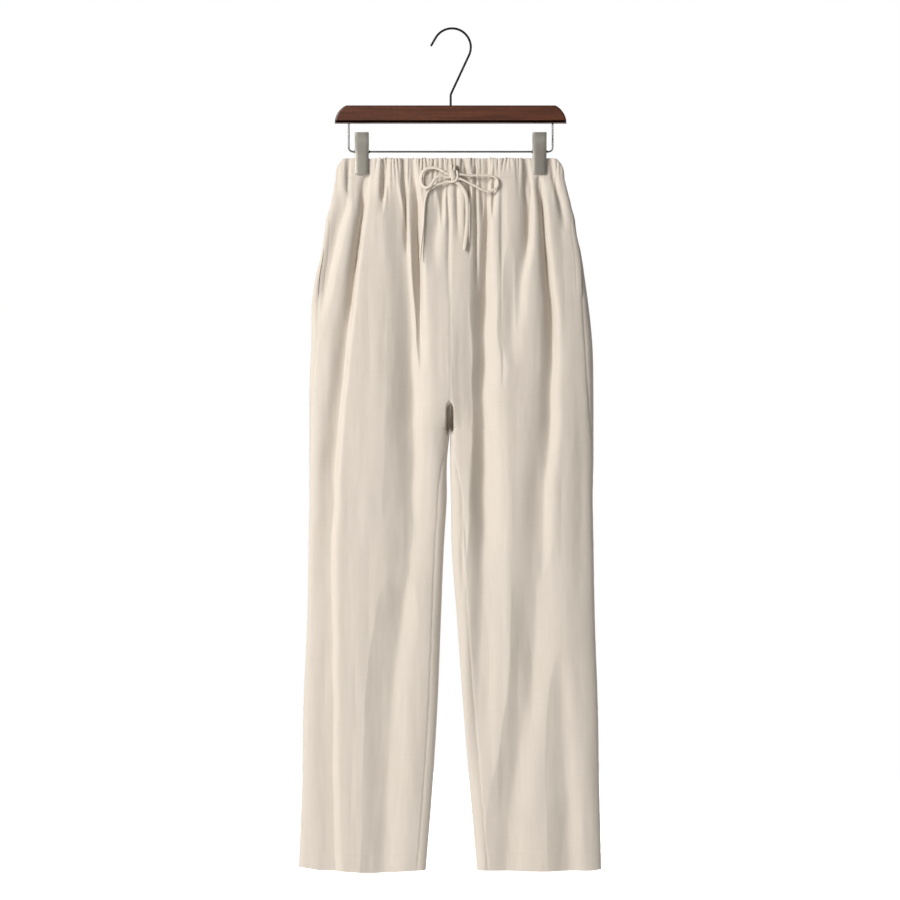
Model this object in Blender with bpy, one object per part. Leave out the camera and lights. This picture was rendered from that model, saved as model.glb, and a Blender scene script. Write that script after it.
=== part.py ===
"""Linen drawstring trousers hanging on a wooden clip hanger.

Frame: metres, +Z up. The origin is the inside top of the hanger's hook, where a rail carries it.
The trousers' front faces -Y, so the wearer's right leg is at -X.
Tables are in millimetres; MM turns them to metres.
"""

from collections import namedtuple
from math import cos, pi, radians, sin

import bmesh
import bpy
import numpy as np

MM = 0.001
RIGHT, LEFT = -1, 1                # the wearer's right is at -X

# --- driving dimensions ---
CENTRE_X = -1.8 * MM               # the hook's top stands a little to one side of its shank
SEAM_X = -0.7                      # centre seams, from the hanger's middle, in millimetres
WAIST_TOP = -181.5 * MM
CASING_HEIGHT = 28 * MM
HEM_Z = -1182 * MM
CROTCH_Z = -563.5 * MM
CROTCH_CURVE = 80 * MM             # the panels have closer rows within this height of the crotch
SADDLE_TOP_Z = -468 * MM           # where the centre seams start to turn in between the legs
CLOTH = 1.2 * MM                   # wall of a linen panel
CASING_WALL = 2.4 * MM             # two layers of linen and the elastic between them
SEAM_GAP = 0.3 * MM
CASING_SETTLE = 6 * MM             # the folds start within this height below the casing
ROUNDING = 2.6                     # exponent of the flattened tube's section
SADDLE_ROUNDING = 2.3
INSEAM_INSET = {RIGHT: 15 * MM, LEFT: 9 * MM}      # the inseam lies this far round to the front
INSEAM_SETTLE = 100 * MM           # and takes this much height below the crotch to get there

CLIP_SPACING = 250 * MM
CLIP_WIDTH = 19.5 * MM
PINCH_DEPTH = 0.56                 # share of the waist's depth that a clip presses out
PINCH_REACH = 20 * MM
PINCH_FADE = 70 * MM               # height over which the pinch opens below the casing

POCKET_TOP_Z = -245 * MM
POCKET_BOTTOM_Z = -385 * MM
POCKET_MOUTH = 1.1 * MM            # how far the pocket mouth stands open
POCKET_BAG_TOP_Z = -222 * MM
POCKET_BAG_BOTTOM_Z = -460 * MM
POCKET_SET_BACK = 0.3              # share of the first column
PANEL_COLUMNS = 17
POCKET_COLUMNS = 8                 # of the front panel's columns
POCKET_CLOTH = 1.0 * MM
POCKET_GAP = 0.6 * MM              # between the bag and the panel's inner face

CORD_RADIUS = 1.9 * MM
KNOT_SIZE = (20.5, 8.0, 12.5)
KNOT_PLACE = (-0.7, -12.9, -207.5)

BAR_LENGTH = 326 * MM
BAR_TOP_Z = -107.2 * MM
BAR_HEIGHT = 25 * MM
BAR_THICKNESS = 12 * MM
BAR_END_RADIUS = 27.5 * MM
BAR_EDGE = 1.6 * MM
HOOK_RADIUS = 1.6 * MM             # of the wire
HOOK_BEND = 26.5 * MM              # centre line of the hook's round part
HOOK_DEPTH_IN_BAR = 14 * MM
ROD_RADIUS = 1.3 * MM
ROD_HALF_SPAN = 143.5 * MM
ROD_Z = -172.1 * MM
ROD_CORNER = 6 * MM
ROD_DEPTH_IN_BAR = 9 * MM
CLIP_TOP_Z = -145.5 * MM
CLIP_BOTTOM_Z = -204.6 * MM
CLIP_SHEET = 1.1 * MM
BUSH_RADIUS = 2.3 * MM
BUSH_HALF_LENGTH = 11.2 * MM

# --- tables, in millimetres ---
# The trousers' section at each height: outer edges, inner edges of the legs, depth to the front and
# the back of the middle plane. Above the crotch the inner edges meet on the centre seams.
Section = namedtuple("Section", "z right_out left_out right_in left_in front back")
SECTIONS = [
    Section(-181, -151, 149, SEAM_X, SEAM_X, 7.4, 7.4),
    Section(-190, -158, 156, SEAM_X, SEAM_X, 7.8, 7.8),
    Section(-212, -163, 161, SEAM_X, SEAM_X, 8.6, 8.8),
    Section(-240, -168, 168, SEAM_X, SEAM_X, 11, 11.5),
    Section(-282, -177, 176, SEAM_X, SEAM_X, 14.5, 16),
    Section(-324, -184, 185, SEAM_X, SEAM_X, 17, 20),
    Section(-352, -191, 189, SEAM_X, SEAM_X, 18, 22),
    Section(-381, -195, 193, SEAM_X, SEAM_X, 19, 24),
    Section(-437, -196, 199, SEAM_X, SEAM_X, 21, 27),
    Section(-521, -199, 201, SEAM_X, SEAM_X, 23, 29),
    Section(-563, -199, 201, -1.2, -0.6, 23, 28),
    Section(-606, -199, 201, -5.2, -1, 22, 26),
    Section(-662, -199, 200, -5.6, 0.4, 21, 24),
    Section(-719, -200, 201, -9, 1, 20, 22),
    Section(-831, -202, 203, -13.7, 8.9, 19, 20),
    Section(-944, -207, 207, -18.2, 17, 18, 19),
    Section(-1057, -209, 209, -25, 26, 18, 18),
    Section(-1182, -214, 212, -35, 37, 18, 18),
]

# How far the side seam lies in from the outline on the front, where the hip rounds out past it.
SideSeam = namedtuple("SideSeam", "z right_inset left_inset")
SIDE_SEAMS = [
    SideSeam(-181, 0, 0),
    SideSeam(-270, 0, 0),
    SideSeam(-324, 3.5, 3),
    SideSeam(-381, 8.5, 8),
    SideSeam(-437, 8, 10.5),
    SideSeam(-521, 2, 7),
    SideSeam(-600, 0, 0),
    SideSeam(-1182, 0, 0),
]

# The largest folds: a trough's bottom line from top to low end, its sideways bow, depth, and the
# width of its left and right banks. Each spreads towards its low end.
Fold = namedtuple("Fold", "face x_top z_top x_low z_low bow depth left_bank right_bank")
FOLDS = [
    Fold("front", -118, -216, -149, -430, 4, 7, 9, 6),
    Fold("front", -150, -400, -172, -1176, -7, 7, 17, 14),
    Fold("front", -80, -262, -72, -640, -4, 9, 17, 13),
    Fold("front", -72, -560, -109, -1176, 6, 8, 18, 13),
    Fold("front", -49, -222, -43, -465, 4, 6, 9, 7),
    Fold("front", 51, -214, 43, -775, -3, 9, 13, 9),
    Fold("front", 103, -216, 92, -400, 8, 6, 9, 7),
    Fold("front", 126, -216, 138, -520, 6, 8, 11, 8),
    Fold("front", 138, -450, 70, -1100, 9, 8, 16, 13),
    Fold("front", 150, -900, 150, -1176, 0, 6, 16, 12),
    Fold("back", -112, -216, -128, -560, -6, 8, 9, 12),
    Fold("back", -122, -500, -140, -1176, 5, 8, 15, 17),
    Fold("back", -58, -220, -66, -520, 3, 8, 8, 11),
    Fold("back", -70, -640, -92, -1176, -5, 8, 14, 16),
    Fold("back", 44, -216, 58, -500, 4, 9, 8, 12),
    Fold("back", 62, -600, 84, -1176, -4, 6, 15, 14),
    Fold("back", 108, -216, 126, -620, 5, 9, 10, 12),
    Fold("back", 134, -640, 150, -1176, -6, 6, 14, 15),
]
FOLD_FADE_TOP, FOLD_FADE_LOW = 0.12, 0.3       # shares of a fold's length
FOLD_SPREAD = 0.5

# The drawstring's route: points chosen along each stretch.
CORDS = {
    "drawstring_strand_right": [
        (-0.6, -8.6, -192.2), (-0.7, -11.2, -192.6), (-0.8, -13.2, -194.6), (-0.9, -13.8, -197.6),
        (-0.9, -13.9, -200.7),
    ],
    "drawstring_strand_left": [
        (4.2, -8.6, -192.2), (4.1, -11.2, -192.7), (3.7, -13.2, -194.8), (3.4, -13.8, -197.8),
        (3.2, -13.9, -200.7),
    ],
    "drawstring_loop_right": [
        (-11.4, -14.6, -207), (-17.2, -16.4, -207.7), (-22.6, -17.4, -210.6), (-26.4, -17.8, -215.4),
        (-30, -18, -221), (-35.4, -17.8, -224.2), (-40.6, -17, -222), (-43.4, -16.2, -216),
        (-43.6, -15.4, -208.6), (-41.2, -14.6, -201.8), (-35.8, -14, -197.2), (-28.6, -13.8, -195.6),
        (-21, -14, -196.6), (-15, -14.4, -199.4), (-10.6, -14.8, -202.2),
    ],
    "drawstring_loop_left": [
        (10.2, -14.8, -204.6), (16, -14.6, -205.8), (25, -14.2, -206.6), (38, -14, -206.4),
        (50, -14.2, -206.4), (58, -14.6, -207.8), (63.2, -15, -212), (64.6, -15.4, -218),
        (62, -15.8, -224), (56, -16, -228), (49, -16, -228.8), (41, -15.8, -226), (31, -15.4, -220.6),
        (21, -15.2, -215.6), (11, -15, -211),
    ],
    "drawstring_tail_right": [
        (-6.2, -12.9, -214.9), (-13, -12.9, -217.6), (-21, -12.8, -219.8), (-29, -12.9, -224),
        (-34.4, -13.4, -231), (-37.4, -14.3, -241), (-39, -15.6, -255), (-40, -17, -275),
        (-42, -18.4, -294), (-43.8, -19.4, -311), (-44.6, -20.2, -326),
    ],
    "drawstring_tail_left": [
        (5.2, -13.2, -215.6), (10.6, -13, -219.4), (15.6, -13, -225.4), (19.4, -13.3, -233),
        (21.2, -14, -243), (21.6, -15.1, -256), (21.2, -16.4, -273), (19.6, -18, -293),
        (17.2, -19.2, -311.5),
    ],
}
CORD_STEP = 9 * MM                 # spacing of the tube's rings

# Side view of a clip plate: distance from the middle plane to its inner face.
ClipPoint = namedtuple("ClipPoint", "z inner")
CLIP_PROFILE = [
    ClipPoint(-145.5, 9.4),
    ClipPoint(-149.5, 8.9),
    ClipPoint(-160, 6.6),
    ClipPoint(-172.1, 4.8),
    ClipPoint(-182, 4.5),
    ClipPoint(-204.6, 4.4),
]

Finish = namedtuple("Finish", "colour roughness metallic")
LINEN = Finish((0.68, 0.59, 0.49, 1), 0.9, 0.0)
CORD_COTTON = Finish((0.74, 0.65, 0.55, 1), 0.85, 0.0)
WALNUT = Finish((0.115, 0.045, 0.025, 1), 0.45, 0.0)
DARK_STEEL = Finish((0.03, 0.03, 0.035, 1), 0.35, 1.0)
BRIGHT_STEEL = Finish((0.4, 0.4, 0.38, 1), 0.3, 1.0)
SATIN_STEEL = Finish((0.32, 0.29, 0.25, 1), 0.4, 1.0)
BUSH_RUBBER = Finish((0.03, 0.03, 0.03, 1), 0.6, 0.0)


def clear_scene():
    for thing in list(bpy.data.objects):
        bpy.data.objects.remove(thing, do_unlink=True)


def material(name, finish):
    mat = bpy.data.materials.get(name) or bpy.data.materials.new(name)
    mat.use_nodes = True
    shader = mat.node_tree.nodes["Principled BSDF"]
    shader.inputs["Base Color"].default_value = finish.colour
    shader.inputs["Roughness"].default_value = finish.roughness
    shader.inputs["Metallic"].default_value = finish.metallic
    return mat


def add_mesh(name, points, faces, mat):
    """Makes one object from points in metres, with its faces turned outwards."""
    mesh = bpy.data.meshes.new(name)
    mesh.from_pydata([tuple(p) for p in points], [], faces)
    work = bmesh.new()
    work.from_mesh(mesh)
    bmesh.ops.recalc_face_normals(work, faces=work.faces)
    work.to_mesh(mesh)
    work.free()
    mesh.materials.append(mat)
    thing = bpy.data.objects.new(name, mesh)
    bpy.context.scene.collection.objects.link(thing)
    return thing


# --- the cloth's form ---

def smooth_step(x):
    x = np.clip(x, 0, 1)
    return x * x * (3 - 2 * x)


def read_table(rows, column, z):
    """A column of a table at heights z, on a smooth curve through its rows, in metres."""
    heights = np.array([-row.z for row in rows]) * MM
    values = np.array([getattr(row, column) for row in rows]) * MM
    slopes = np.gradient(values, heights)
    depth = np.clip(-z, heights[0], heights[-1])
    i = np.clip(np.searchsorted(heights, depth, side="right") - 1, 0, len(rows) - 2)
    span = heights[i + 1] - heights[i]
    t = (depth - heights[i]) / span
    ease = t * t * (3 - 2 * t)
    return (
        values[i] * (1 - ease) + values[i + 1] * ease
        + span * (slopes[i] * t * (1 - t) ** 2 - slopes[i + 1] * t * t * (1 - t))
    )


def centre_closing(z):
    """How far the section has closed on the centre seams: 0 is flat across, 1 is the crotch."""
    down = np.clip((SADDLE_TOP_Z - z) / (SADDLE_TOP_Z - CROTCH_Z), 0, 1)
    still_open = (1 - down ** SADDLE_ROUNDING) ** (1 / SADDLE_ROUNDING)
    return np.maximum((1 - still_open ** ROUNDING) ** (1 / ROUNDING), 0.02)


def pinch(x, z):
    """The share of the waist's depth left where the clips press front and back together."""
    reach = sum(np.exp(-(((x - s * CLIP_SPACING / 2) / PINCH_REACH) ** 6)) for s in (RIGHT, LEFT))
    below = smooth_step((WAIST_TOP - CASING_HEIGHT - z) / PINCH_FADE)
    return 1 - PINCH_DEPTH * reach * (1 - below)


def fold_depth(x, z, face):
    """How far the folds of one face draw the cloth in at x and z, measured from the middle."""
    total = np.zeros_like(x)
    for fold in FOLDS:
        if fold.face != face:
            continue
        along = (fold.z_top * MM - z) / ((fold.z_top - fold.z_low) * MM)
        t = np.clip(along, 0, 1)
        bottom = (fold.x_top + (fold.x_low - fold.x_top) * t + fold.bow * 4 * t * (1 - t)) * MM
        bank = np.where(x < bottom, fold.left_bank, fold.right_bank) * MM * (1 + FOLD_SPREAD * t)
        fade = smooth_step(along / FOLD_FADE_TOP) * smooth_step((1 - along) / FOLD_FADE_LOW)
        if fold.z_low < -1100:                   # it runs out of the hem
            fade = smooth_step(along / FOLD_FADE_TOP)
        total = np.maximum(total, fold.depth * MM * fade * np.exp(-(((x - bottom) / bank) ** 2)))
    return total


def leg_shape(side, z, gap=SEAM_GAP):
    """The outer edge, crown and inner half width of one half's section at heights z."""
    names = ("right_out", "right_in") if side == RIGHT else ("left_out", "left_in")
    outer, inner = (read_table(SECTIONS, name, z) for name in names)
    inner = inner + side * gap * 2 / 3
    crown = (outer + inner) / 2
    return outer, crown, np.abs(crown - inner) / centre_closing(z)


def cloth_point(side, angle, z, gap=SEAM_GAP):
    """A point of the cloth's outer face. The angle runs from the outer edge (0) over the front to
    the inner edge (pi) and back behind (2 pi)."""
    outer, crown, inner_half = leg_shape(side, z, gap)
    c, s = np.cos(angle), np.sin(angle)
    half = np.where(c >= 0, np.abs(outer - crown), inner_half)
    x = crown + side * half * np.sign(c) * np.abs(c) ** (2 / ROUNDING)
    swell = np.abs(s) ** (2 / ROUNDING)
    front = read_table(SECTIONS, "front", z) * swell * pinch(x, z)
    back = read_table(SECTIONS, "back", z) * swell * pinch(x, z)
    away_from_edge = smooth_step(np.abs(s) * 1.6)
    below_casing = smooth_step((WAIST_TOP - CASING_HEIGHT - z) / CASING_SETTLE)
    weight = away_from_edge * below_casing
    y = np.where(
        s >= 0,
        -(front - fold_depth(x, z, "front") * weight),
        back - fold_depth(x, z, "back") * weight,
    )
    return np.stack([x + CENTRE_X, y, z + np.zeros_like(x)], axis=-1)


def cloth_normal(side, angle, z, gap=SEAM_GAP):
    turn, rise = 1e-3, 0.5 * MM
    across = cloth_point(side, angle + turn, z, gap) - cloth_point(side, angle - turn, z, gap)
    up = cloth_point(side, angle, z + rise, gap) - cloth_point(side, angle, z - rise, gap)
    normal = -side * np.cross(across, up)
    return normal / np.linalg.norm(normal, axis=-1, keepdims=True)


def seam_angles(side, z):
    """The angles of the side seam, and of the front's and the back's inner seam, at heights z."""
    outer, crown, inner_half = leg_shape(side, z)
    out_half = np.abs(outer - crown)
    column = "right_inset" if side == RIGHT else "left_inset"
    inset = read_table(SIDE_SEAMS, column, z)
    side_angle = np.arccos(np.clip(1 - inset / out_half, 0, 1) ** (ROUNDING / 2))
    closing = centre_closing(z)
    turned = INSEAM_INSET[side] * smooth_step((CROTCH_Z - z) / INSEAM_SETTLE)
    front_angle = np.arccos(-((closing * (1 - turned / inner_half)) ** (ROUNDING / 2)))
    back_angle = np.where(z > CROTCH_Z, 2 * pi - np.arccos(-(closing ** (ROUNDING / 2))), front_angle)
    return side_angle, front_angle, back_angle


def even_angles(side, start, end, z, columns, trim_start, trim_end, gap=SEAM_GAP):
    """Angles at even steps of length along each row, trimmed at both ends by lengths."""
    rows = []
    for a, b, height, first, last in zip(start, end, z, trim_start, trim_end):
        dense = np.linspace(a, b, 240)
        steps = np.diff(cloth_point(side, dense, np.full(240, height), gap)[:, :2], axis=0)
        length = np.concatenate([[0], np.cumsum(np.hypot(steps[:, 0], steps[:, 1]))])
        rows.append(np.interp(np.linspace(first, length[-1] - last, columns + 1), length, dense))
    return np.array(rows)


def wall(name, outer, normals, depth, thickness, mat):
    """A closed wall between a grid of points moved in by depth and by depth + thickness."""
    rows, columns = outer.shape[:2]
    skins = [outer - normals * depth, outer - normals * (depth + thickness)]
    points = np.concatenate([skin.reshape(-1, 3) for skin in skins])
    inside = rows * columns
    faces = []
    for r in range(rows - 1):
        for c in range(columns - 1):
            a = r * columns + c
            for face in ((a, a + 1, a + columns + 1), (a, a + columns + 1, a + columns)):
                faces.append(face)
                faces.append(tuple(i + inside for i in reversed(face)))
    edge = list(range(columns))
    edge += [r * columns + columns - 1 for r in range(1, rows)]
    edge += [(rows - 1) * columns + c for c in range(columns - 2, -1, -1)]
    edge += [r * columns for r in range(rows - 2, 0, -1)]
    for a, b in zip(edge, edge[1:] + edge[:1]):
        faces.append((b, a, a + inside, b + inside))
    return add_mesh(name, points, faces, mat)


def panel_heights():
    """Heights of a panel's rows, closer together where the crotch curves."""
    top = WAIST_TOP - CASING_HEIGHT - SEAM_GAP
    above, below = CROTCH_Z + CROTCH_CURVE, CROTCH_Z - CROTCH_CURVE / 2
    return np.concatenate([
        np.linspace(top, above, 8, endpoint=False),
        np.linspace(above, below, 8, endpoint=False),
        np.linspace(below, HEM_Z, 9),
    ])


def pocket_opening(z):
    middle = (POCKET_TOP_Z + POCKET_BOTTOM_Z) / 2
    half = (POCKET_TOP_Z - POCKET_BOTTOM_Z) / 2
    return POCKET_MOUTH * smooth_step((1 - np.abs(z - middle) / half) * 3)


def front_grid(side, z):
    """Angles of a front panel's grid, and of its rows' heights."""
    side_seam, front_seam, _ = seam_angles(side, z)
    half_gap = np.full(len(z), SEAM_GAP / 2)
    mouth = half_gap + pocket_opening(z)
    angle = even_angles(side, side_seam, front_seam, z, PANEL_COLUMNS, mouth, half_gap)
    return angle, np.repeat(z[:, None], PANEL_COLUMNS + 1, axis=1)


def back_grid(side, z):
    """Angles of a back panel's grid, and of its rows' heights."""
    side_seam, _, back_seam = seam_angles(side, z)
    half_gap = np.full(len(z), SEAM_GAP / 2)
    angle = even_angles(side, back_seam, side_seam + 2 * pi, z, PANEL_COLUMNS, half_gap, half_gap)
    return angle, np.repeat(z[:, None], PANEL_COLUMNS + 1, axis=1)


def build_panels(mat):
    z = panel_heights()
    for side, word in ((RIGHT, "right"), (LEFT, "left")):
        for name, grid in (("front_", front_grid), ("back_", back_grid)):
            angle, height = grid(side, z)
            outer, normal = cloth_point(side, angle, height), cloth_normal(side, angle, height)
            wall(name + word, outer, normal, 0, CLOTH, mat)


def build_pockets(mat):
    """A bag behind each front panel, from the panel's own points moved in."""
    z = panel_heights()
    rows = (z < POCKET_BAG_TOP_Z) & (z > POCKET_BAG_BOTTOM_Z)
    for side, word in ((RIGHT, "right"), (LEFT, "left")):
        angle, height = (grid[rows, :POCKET_COLUMNS + 1] for grid in front_grid(side, z))
        outer, normal = cloth_point(side, angle, height), cloth_normal(side, angle, height)
        for grid in (outer, normal):             # the bag's edge stands back from the mouth's lip
            grid[:, 0] += (grid[:, 1] - grid[:, 0]) * POCKET_SET_BACK
        wall("pocket_" + word, outer, normal, CLOTH + POCKET_GAP, POCKET_CLOTH, mat)


def build_waistband(mat):
    """One closed ring: right front, right back, left back and left front, edge to edge."""
    z = np.linspace(WAIST_TOP, WAIST_TOP - CASING_HEIGHT, 4)
    columns = 16
    none = np.zeros(len(z))
    height = np.repeat(z[:, None], columns + 1, axis=1)
    points, normals = [], []
    for side in (RIGHT, LEFT):
        # the section is cut on the centre seams, where the cloth lies flat across
        inner = np.arccos(-(centre_closing(z) ** (ROUNDING / 2)))
        front = even_angles(side, inner, none, z, columns, none, none, gap=0)
        back = even_angles(side, none + 2 * pi, 2 * pi - inner, z, columns, none, none, gap=0)
        quarters = [front, back] if side == RIGHT else [back[:, ::-1], front[:, ::-1]]
        for angle in quarters:
            points.append(cloth_point(side, angle, height, gap=0)[:, :-1])
            normals.append(cloth_normal(side, angle, height, gap=0)[:, :-1])
    outer, normal = np.concatenate(points, axis=1), np.concatenate(normals, axis=1)
    rows, around = outer.shape[:2]
    skins = np.concatenate([outer.reshape(-1, 3), (outer - normal * CASING_WALL).reshape(-1, 3)])
    inside = rows * around
    faces = []
    for c in range(around):
        d = (c + 1) % around
        for r in range(rows - 1):
            quad = (r * around + c, r * around + d, (r + 1) * around + d, (r + 1) * around + c)
            faces.append(quad)
            faces.append(tuple(i + inside for i in reversed(quad)))
        last = (rows - 1) * around
        faces.append((c, d, d + inside, c + inside))
        faces.append((last + d, last + c, last + c + inside, last + d + inside))
    add_mesh("waistband", skins, faces, mat)


# --- the drawstring ---

def smooth_route(points, step):
    """Points at even steps along a smooth curve through the route's own points, in metres."""
    p = np.array(points) * MM
    ends = np.concatenate([[2 * p[0] - p[1]], p, [2 * p[-1] - p[-2]]])
    t = np.linspace(0, 1, 24, endpoint=False)[:, None]
    curve = [
        0.5 * (
            2 * b + (c - a) * t + (2 * a - 5 * b + 4 * c - d) * t ** 2
            + (3 * b - a - 3 * c + d) * t ** 3
        )
        for a, b, c, d in zip(ends, ends[1:], ends[2:], ends[3:])
    ]
    curve = np.concatenate(curve + [p[-1:]])
    length = np.concatenate([[0], np.cumsum(np.linalg.norm(np.diff(curve, axis=0), axis=1))])
    even = np.linspace(0, length[-1], max(int(round(length[-1] / step)), 3) + 1)
    return np.stack([np.interp(even, length, curve[:, k]) for k in range(3)], axis=1)


def tube(name, points, radius, resolution, mat):
    """A round wire or cord along points, as a curve with a bevel and closed ends."""
    curve = bpy.data.curves.new(name, "CURVE")
    curve.dimensions = "3D"
    curve.bevel_depth = radius
    curve.bevel_resolution = resolution
    curve.use_fill_caps = True
    spline = curve.splines.new("POLY")
    spline.points.add(len(points) - 1)
    for place, point in zip(spline.points, points):
        place.co = (*point, 1)
    curve.materials.append(mat)
    thing = bpy.data.objects.new(name, curve)
    bpy.context.scene.collection.objects.link(thing)
    return thing


def build_drawstring(mat):
    for name, route in CORDS.items():
        step = CORD_STEP if "tail" in name else CORD_STEP / 2
        tube(name, smooth_route(route, step), CORD_RADIUS, 2, mat)
    work = bmesh.new()
    bmesh.ops.create_uvsphere(work, u_segments=16, v_segments=8, radius=0.5)
    bmesh.ops.scale(work, vec=[v * MM for v in KNOT_SIZE], verts=work.verts)
    mesh = bpy.data.meshes.new("drawstring_knot")
    work.to_mesh(mesh)
    work.free()
    mesh.materials.append(mat)
    mesh.shade_smooth()
    knot = bpy.data.objects.new("drawstring_knot", mesh)
    knot.location = [v * MM for v in KNOT_PLACE]
    bpy.context.scene.collection.objects.link(knot)


# --- the hanger ---

def fillet(before, corner, after, radius, steps=6):
    """Points of the arc that rounds a corner of a path."""
    before, corner, after = (np.array(p, float) for p in (before, corner, after))
    a = (before - corner) / np.linalg.norm(before - corner)
    b = (after - corner) / np.linalg.norm(after - corner)
    half = np.arccos(np.clip(a @ b, -1, 1)) / 2
    middle = (a + b) / np.linalg.norm(a + b)
    centre = corner + middle * radius / np.sin(half)
    start = corner + a * radius / np.tan(half) - centre
    end = corner + b * radius / np.tan(half) - centre
    sweep = pi - 2 * half
    return [
        centre + (start * np.sin(sweep * (1 - t)) + end * np.sin(sweep * t)) / np.sin(sweep)
        for t in np.linspace(0, 1, steps)
    ]


def drill(thing, x, z_low, z_high, radius):
    """Cuts an upright round hole on the middle plane."""
    work = bmesh.new()
    bmesh.ops.create_cone(
        work, cap_ends=True, segments=20, radius1=radius, radius2=radius, depth=z_high - z_low
    )
    mesh = bpy.data.meshes.new("drill")
    work.to_mesh(mesh)
    work.free()
    cutter = bpy.data.objects.new("drill", mesh)
    cutter.location = (x, 0, (z_low + z_high) / 2)
    cutter.hide_render = True
    cutter.display_type = "WIRE"
    bpy.context.scene.collection.objects.link(cutter)
    cut = thing.modifiers.new("hole", "BOOLEAN")
    cut.operation = "DIFFERENCE"
    cut.object = cutter


def build_bar(mat):
    """The wooden bar: a straight rail with quarter-round ends, its edges eased."""
    bottom = BAR_TOP_Z - BAR_HEIGHT
    reach = np.arcsin(BAR_HEIGHT / BAR_END_RADIUS)
    arc = np.linspace(0, reach, 8)
    end = BAR_LENGTH / 2 - BAR_END_RADIUS
    right_end = [(end + BAR_END_RADIUS * cos(a), bottom + BAR_END_RADIUS * sin(a)) for a in arc]
    outline = right_end + [(-x, z) for x, z in reversed(right_end)]
    work = bmesh.new()
    verts = [work.verts.new((x, -BAR_THICKNESS / 2, z)) for x, z in outline]
    face = work.faces.new(verts)
    pushed = bmesh.ops.extrude_face_region(work, geom=[face])["geom"]
    moved = [v for v in pushed if isinstance(v, bmesh.types.BMVert)]
    bmesh.ops.translate(work, verts=moved, vec=(0, BAR_THICKNESS, 0))
    rims = [e for e in work.edges if abs(e.verts[0].co.y - e.verts[1].co.y) < 1e-6]
    bmesh.ops.bevel(work, geom=rims, offset=BAR_EDGE, segments=2, affect="EDGES", profile=0.5)
    bmesh.ops.recalc_face_normals(work, faces=work.faces)
    mesh = bpy.data.meshes.new("hanger_bar")
    work.to_mesh(mesh)
    work.free()
    mesh.materials.append(mat)
    bar = bpy.data.objects.new("hanger_bar", mesh)
    bar.location.x = CENTRE_X
    bpy.context.scene.collection.objects.link(bar)
    above, below = 5 * MM, 5 * MM
    hook_hole = HOOK_RADIUS + SEAM_GAP
    drill(bar, CENTRE_X, BAR_TOP_Z - HOOK_DEPTH_IN_BAR - SEAM_GAP, BAR_TOP_Z + above, hook_hole)
    for side in (RIGHT, LEFT):
        drill(
            bar,
            CENTRE_X + side * ROD_HALF_SPAN,
            bottom - below,
            bottom + ROD_DEPTH_IN_BAR + SEAM_GAP,
            ROD_RADIUS + SEAM_GAP,
        )


def build_hook(mat):
    """The wire hook: a shank in the bar, a leaning stem, the round bend and a straight tip."""
    lean, tip_angle, tip_length = radians(25), radians(150), 14 * MM
    centre_z = HOOK_RADIUS - HOOK_BEND
    run = (HOOK_BEND * cos(lean) - CENTRE_X) / sin(lean)
    kink = (CENTRE_X, centre_z - HOOK_BEND * sin(lean) - run * cos(lean))
    foot = (CENTRE_X, BAR_TOP_Z - HOOK_DEPTH_IN_BAR)
    round_start = (HOOK_BEND * cos(lean), centre_z - HOOK_BEND * sin(lean))
    path = [foot] + fillet(foot, kink, round_start, 9 * MM)
    turns = np.linspace(-lean, tip_angle, 22)
    path += [(HOOK_BEND * cos(a), centre_z + HOOK_BEND * sin(a)) for a in turns]
    end = path[-1]
    path.append((end[0] - tip_length * sin(tip_angle), end[1] + tip_length * cos(tip_angle)))
    tube("hanger_hook", [(x, 0, z) for x, z in path], HOOK_RADIUS, 4, mat)


def build_rod(mat):
    """The wire under the bar that the clips slide on."""
    top = BAR_TOP_Z - BAR_HEIGHT + ROD_DEPTH_IN_BAR
    corners = [(-ROD_HALF_SPAN, top), (-ROD_HALF_SPAN, ROD_Z), (ROD_HALF_SPAN, ROD_Z), (ROD_HALF_SPAN, top)]
    path = [corners[0]]
    for before, corner, after in zip(corners, corners[1:], corners[2:]):
        path += fillet(before, corner, after, ROD_CORNER)
    path.append(corners[-1])
    tube("hanger_rod", [(x + CENTRE_X, 0, z) for x, z in path], ROD_RADIUS, 3, mat)


def clip_plate(name, x, face, mat):
    """One lever of a clip: a bent strip with lips turned in along its sides. Face -1 is the front."""
    corner = 3 * MM
    heights = np.array(
        [CLIP_TOP_Z, -0.1495, -0.156, -0.163, -0.1675, -0.1765, -0.181, -0.186, -0.195]
        + [CLIP_BOTTOM_Z + corner * (1 - sin(a)) for a in np.linspace(0, pi / 2, 4)]
    )
    inner = read_table(CLIP_PROFILE, "inner", heights)
    low = np.clip((CLIP_BOTTOM_Z + corner - heights) / corner, 0, 1)
    half = CLIP_WIDTH / 2 - corner * (1 - np.sqrt(1 - low ** 2)) * 0.9
    near_rod = smooth_step((9.4 * MM - np.abs(heights - ROD_Z)) / (5 * MM))
    lip = 0.3 * MM + 1.6 * MM * near_rod
    points = []
    for z, w, y, deep in zip(heights, half, inner, lip):
        out, edge = y + CLIP_SHEET, y - deep
        ring = [
            (-w, out), (w, out), (w, edge), (w - CLIP_SHEET, edge),
            (w - CLIP_SHEET, y), (-w + CLIP_SHEET, y), (-w + CLIP_SHEET, edge), (-w, edge),
        ]
        points += [(x + across, face * away, z) for across, away in ring]
    faces = []
    for r in range(len(heights) - 1):
        for k in range(8):
            a, b = r * 8 + k, r * 8 + (k + 1) % 8
            faces.append((a, b, b + 8, a + 8))
    last = (len(heights) - 1) * 8
    for start in (0, last):                      # the C-shaped ends, as three quads each
        for quad in ((0, 5, 6, 7), (0, 1, 4, 5), (1, 2, 3, 4)):
            faces.append(tuple(start + k for k in quad))
    add_mesh(name, points, faces, mat)


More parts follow.
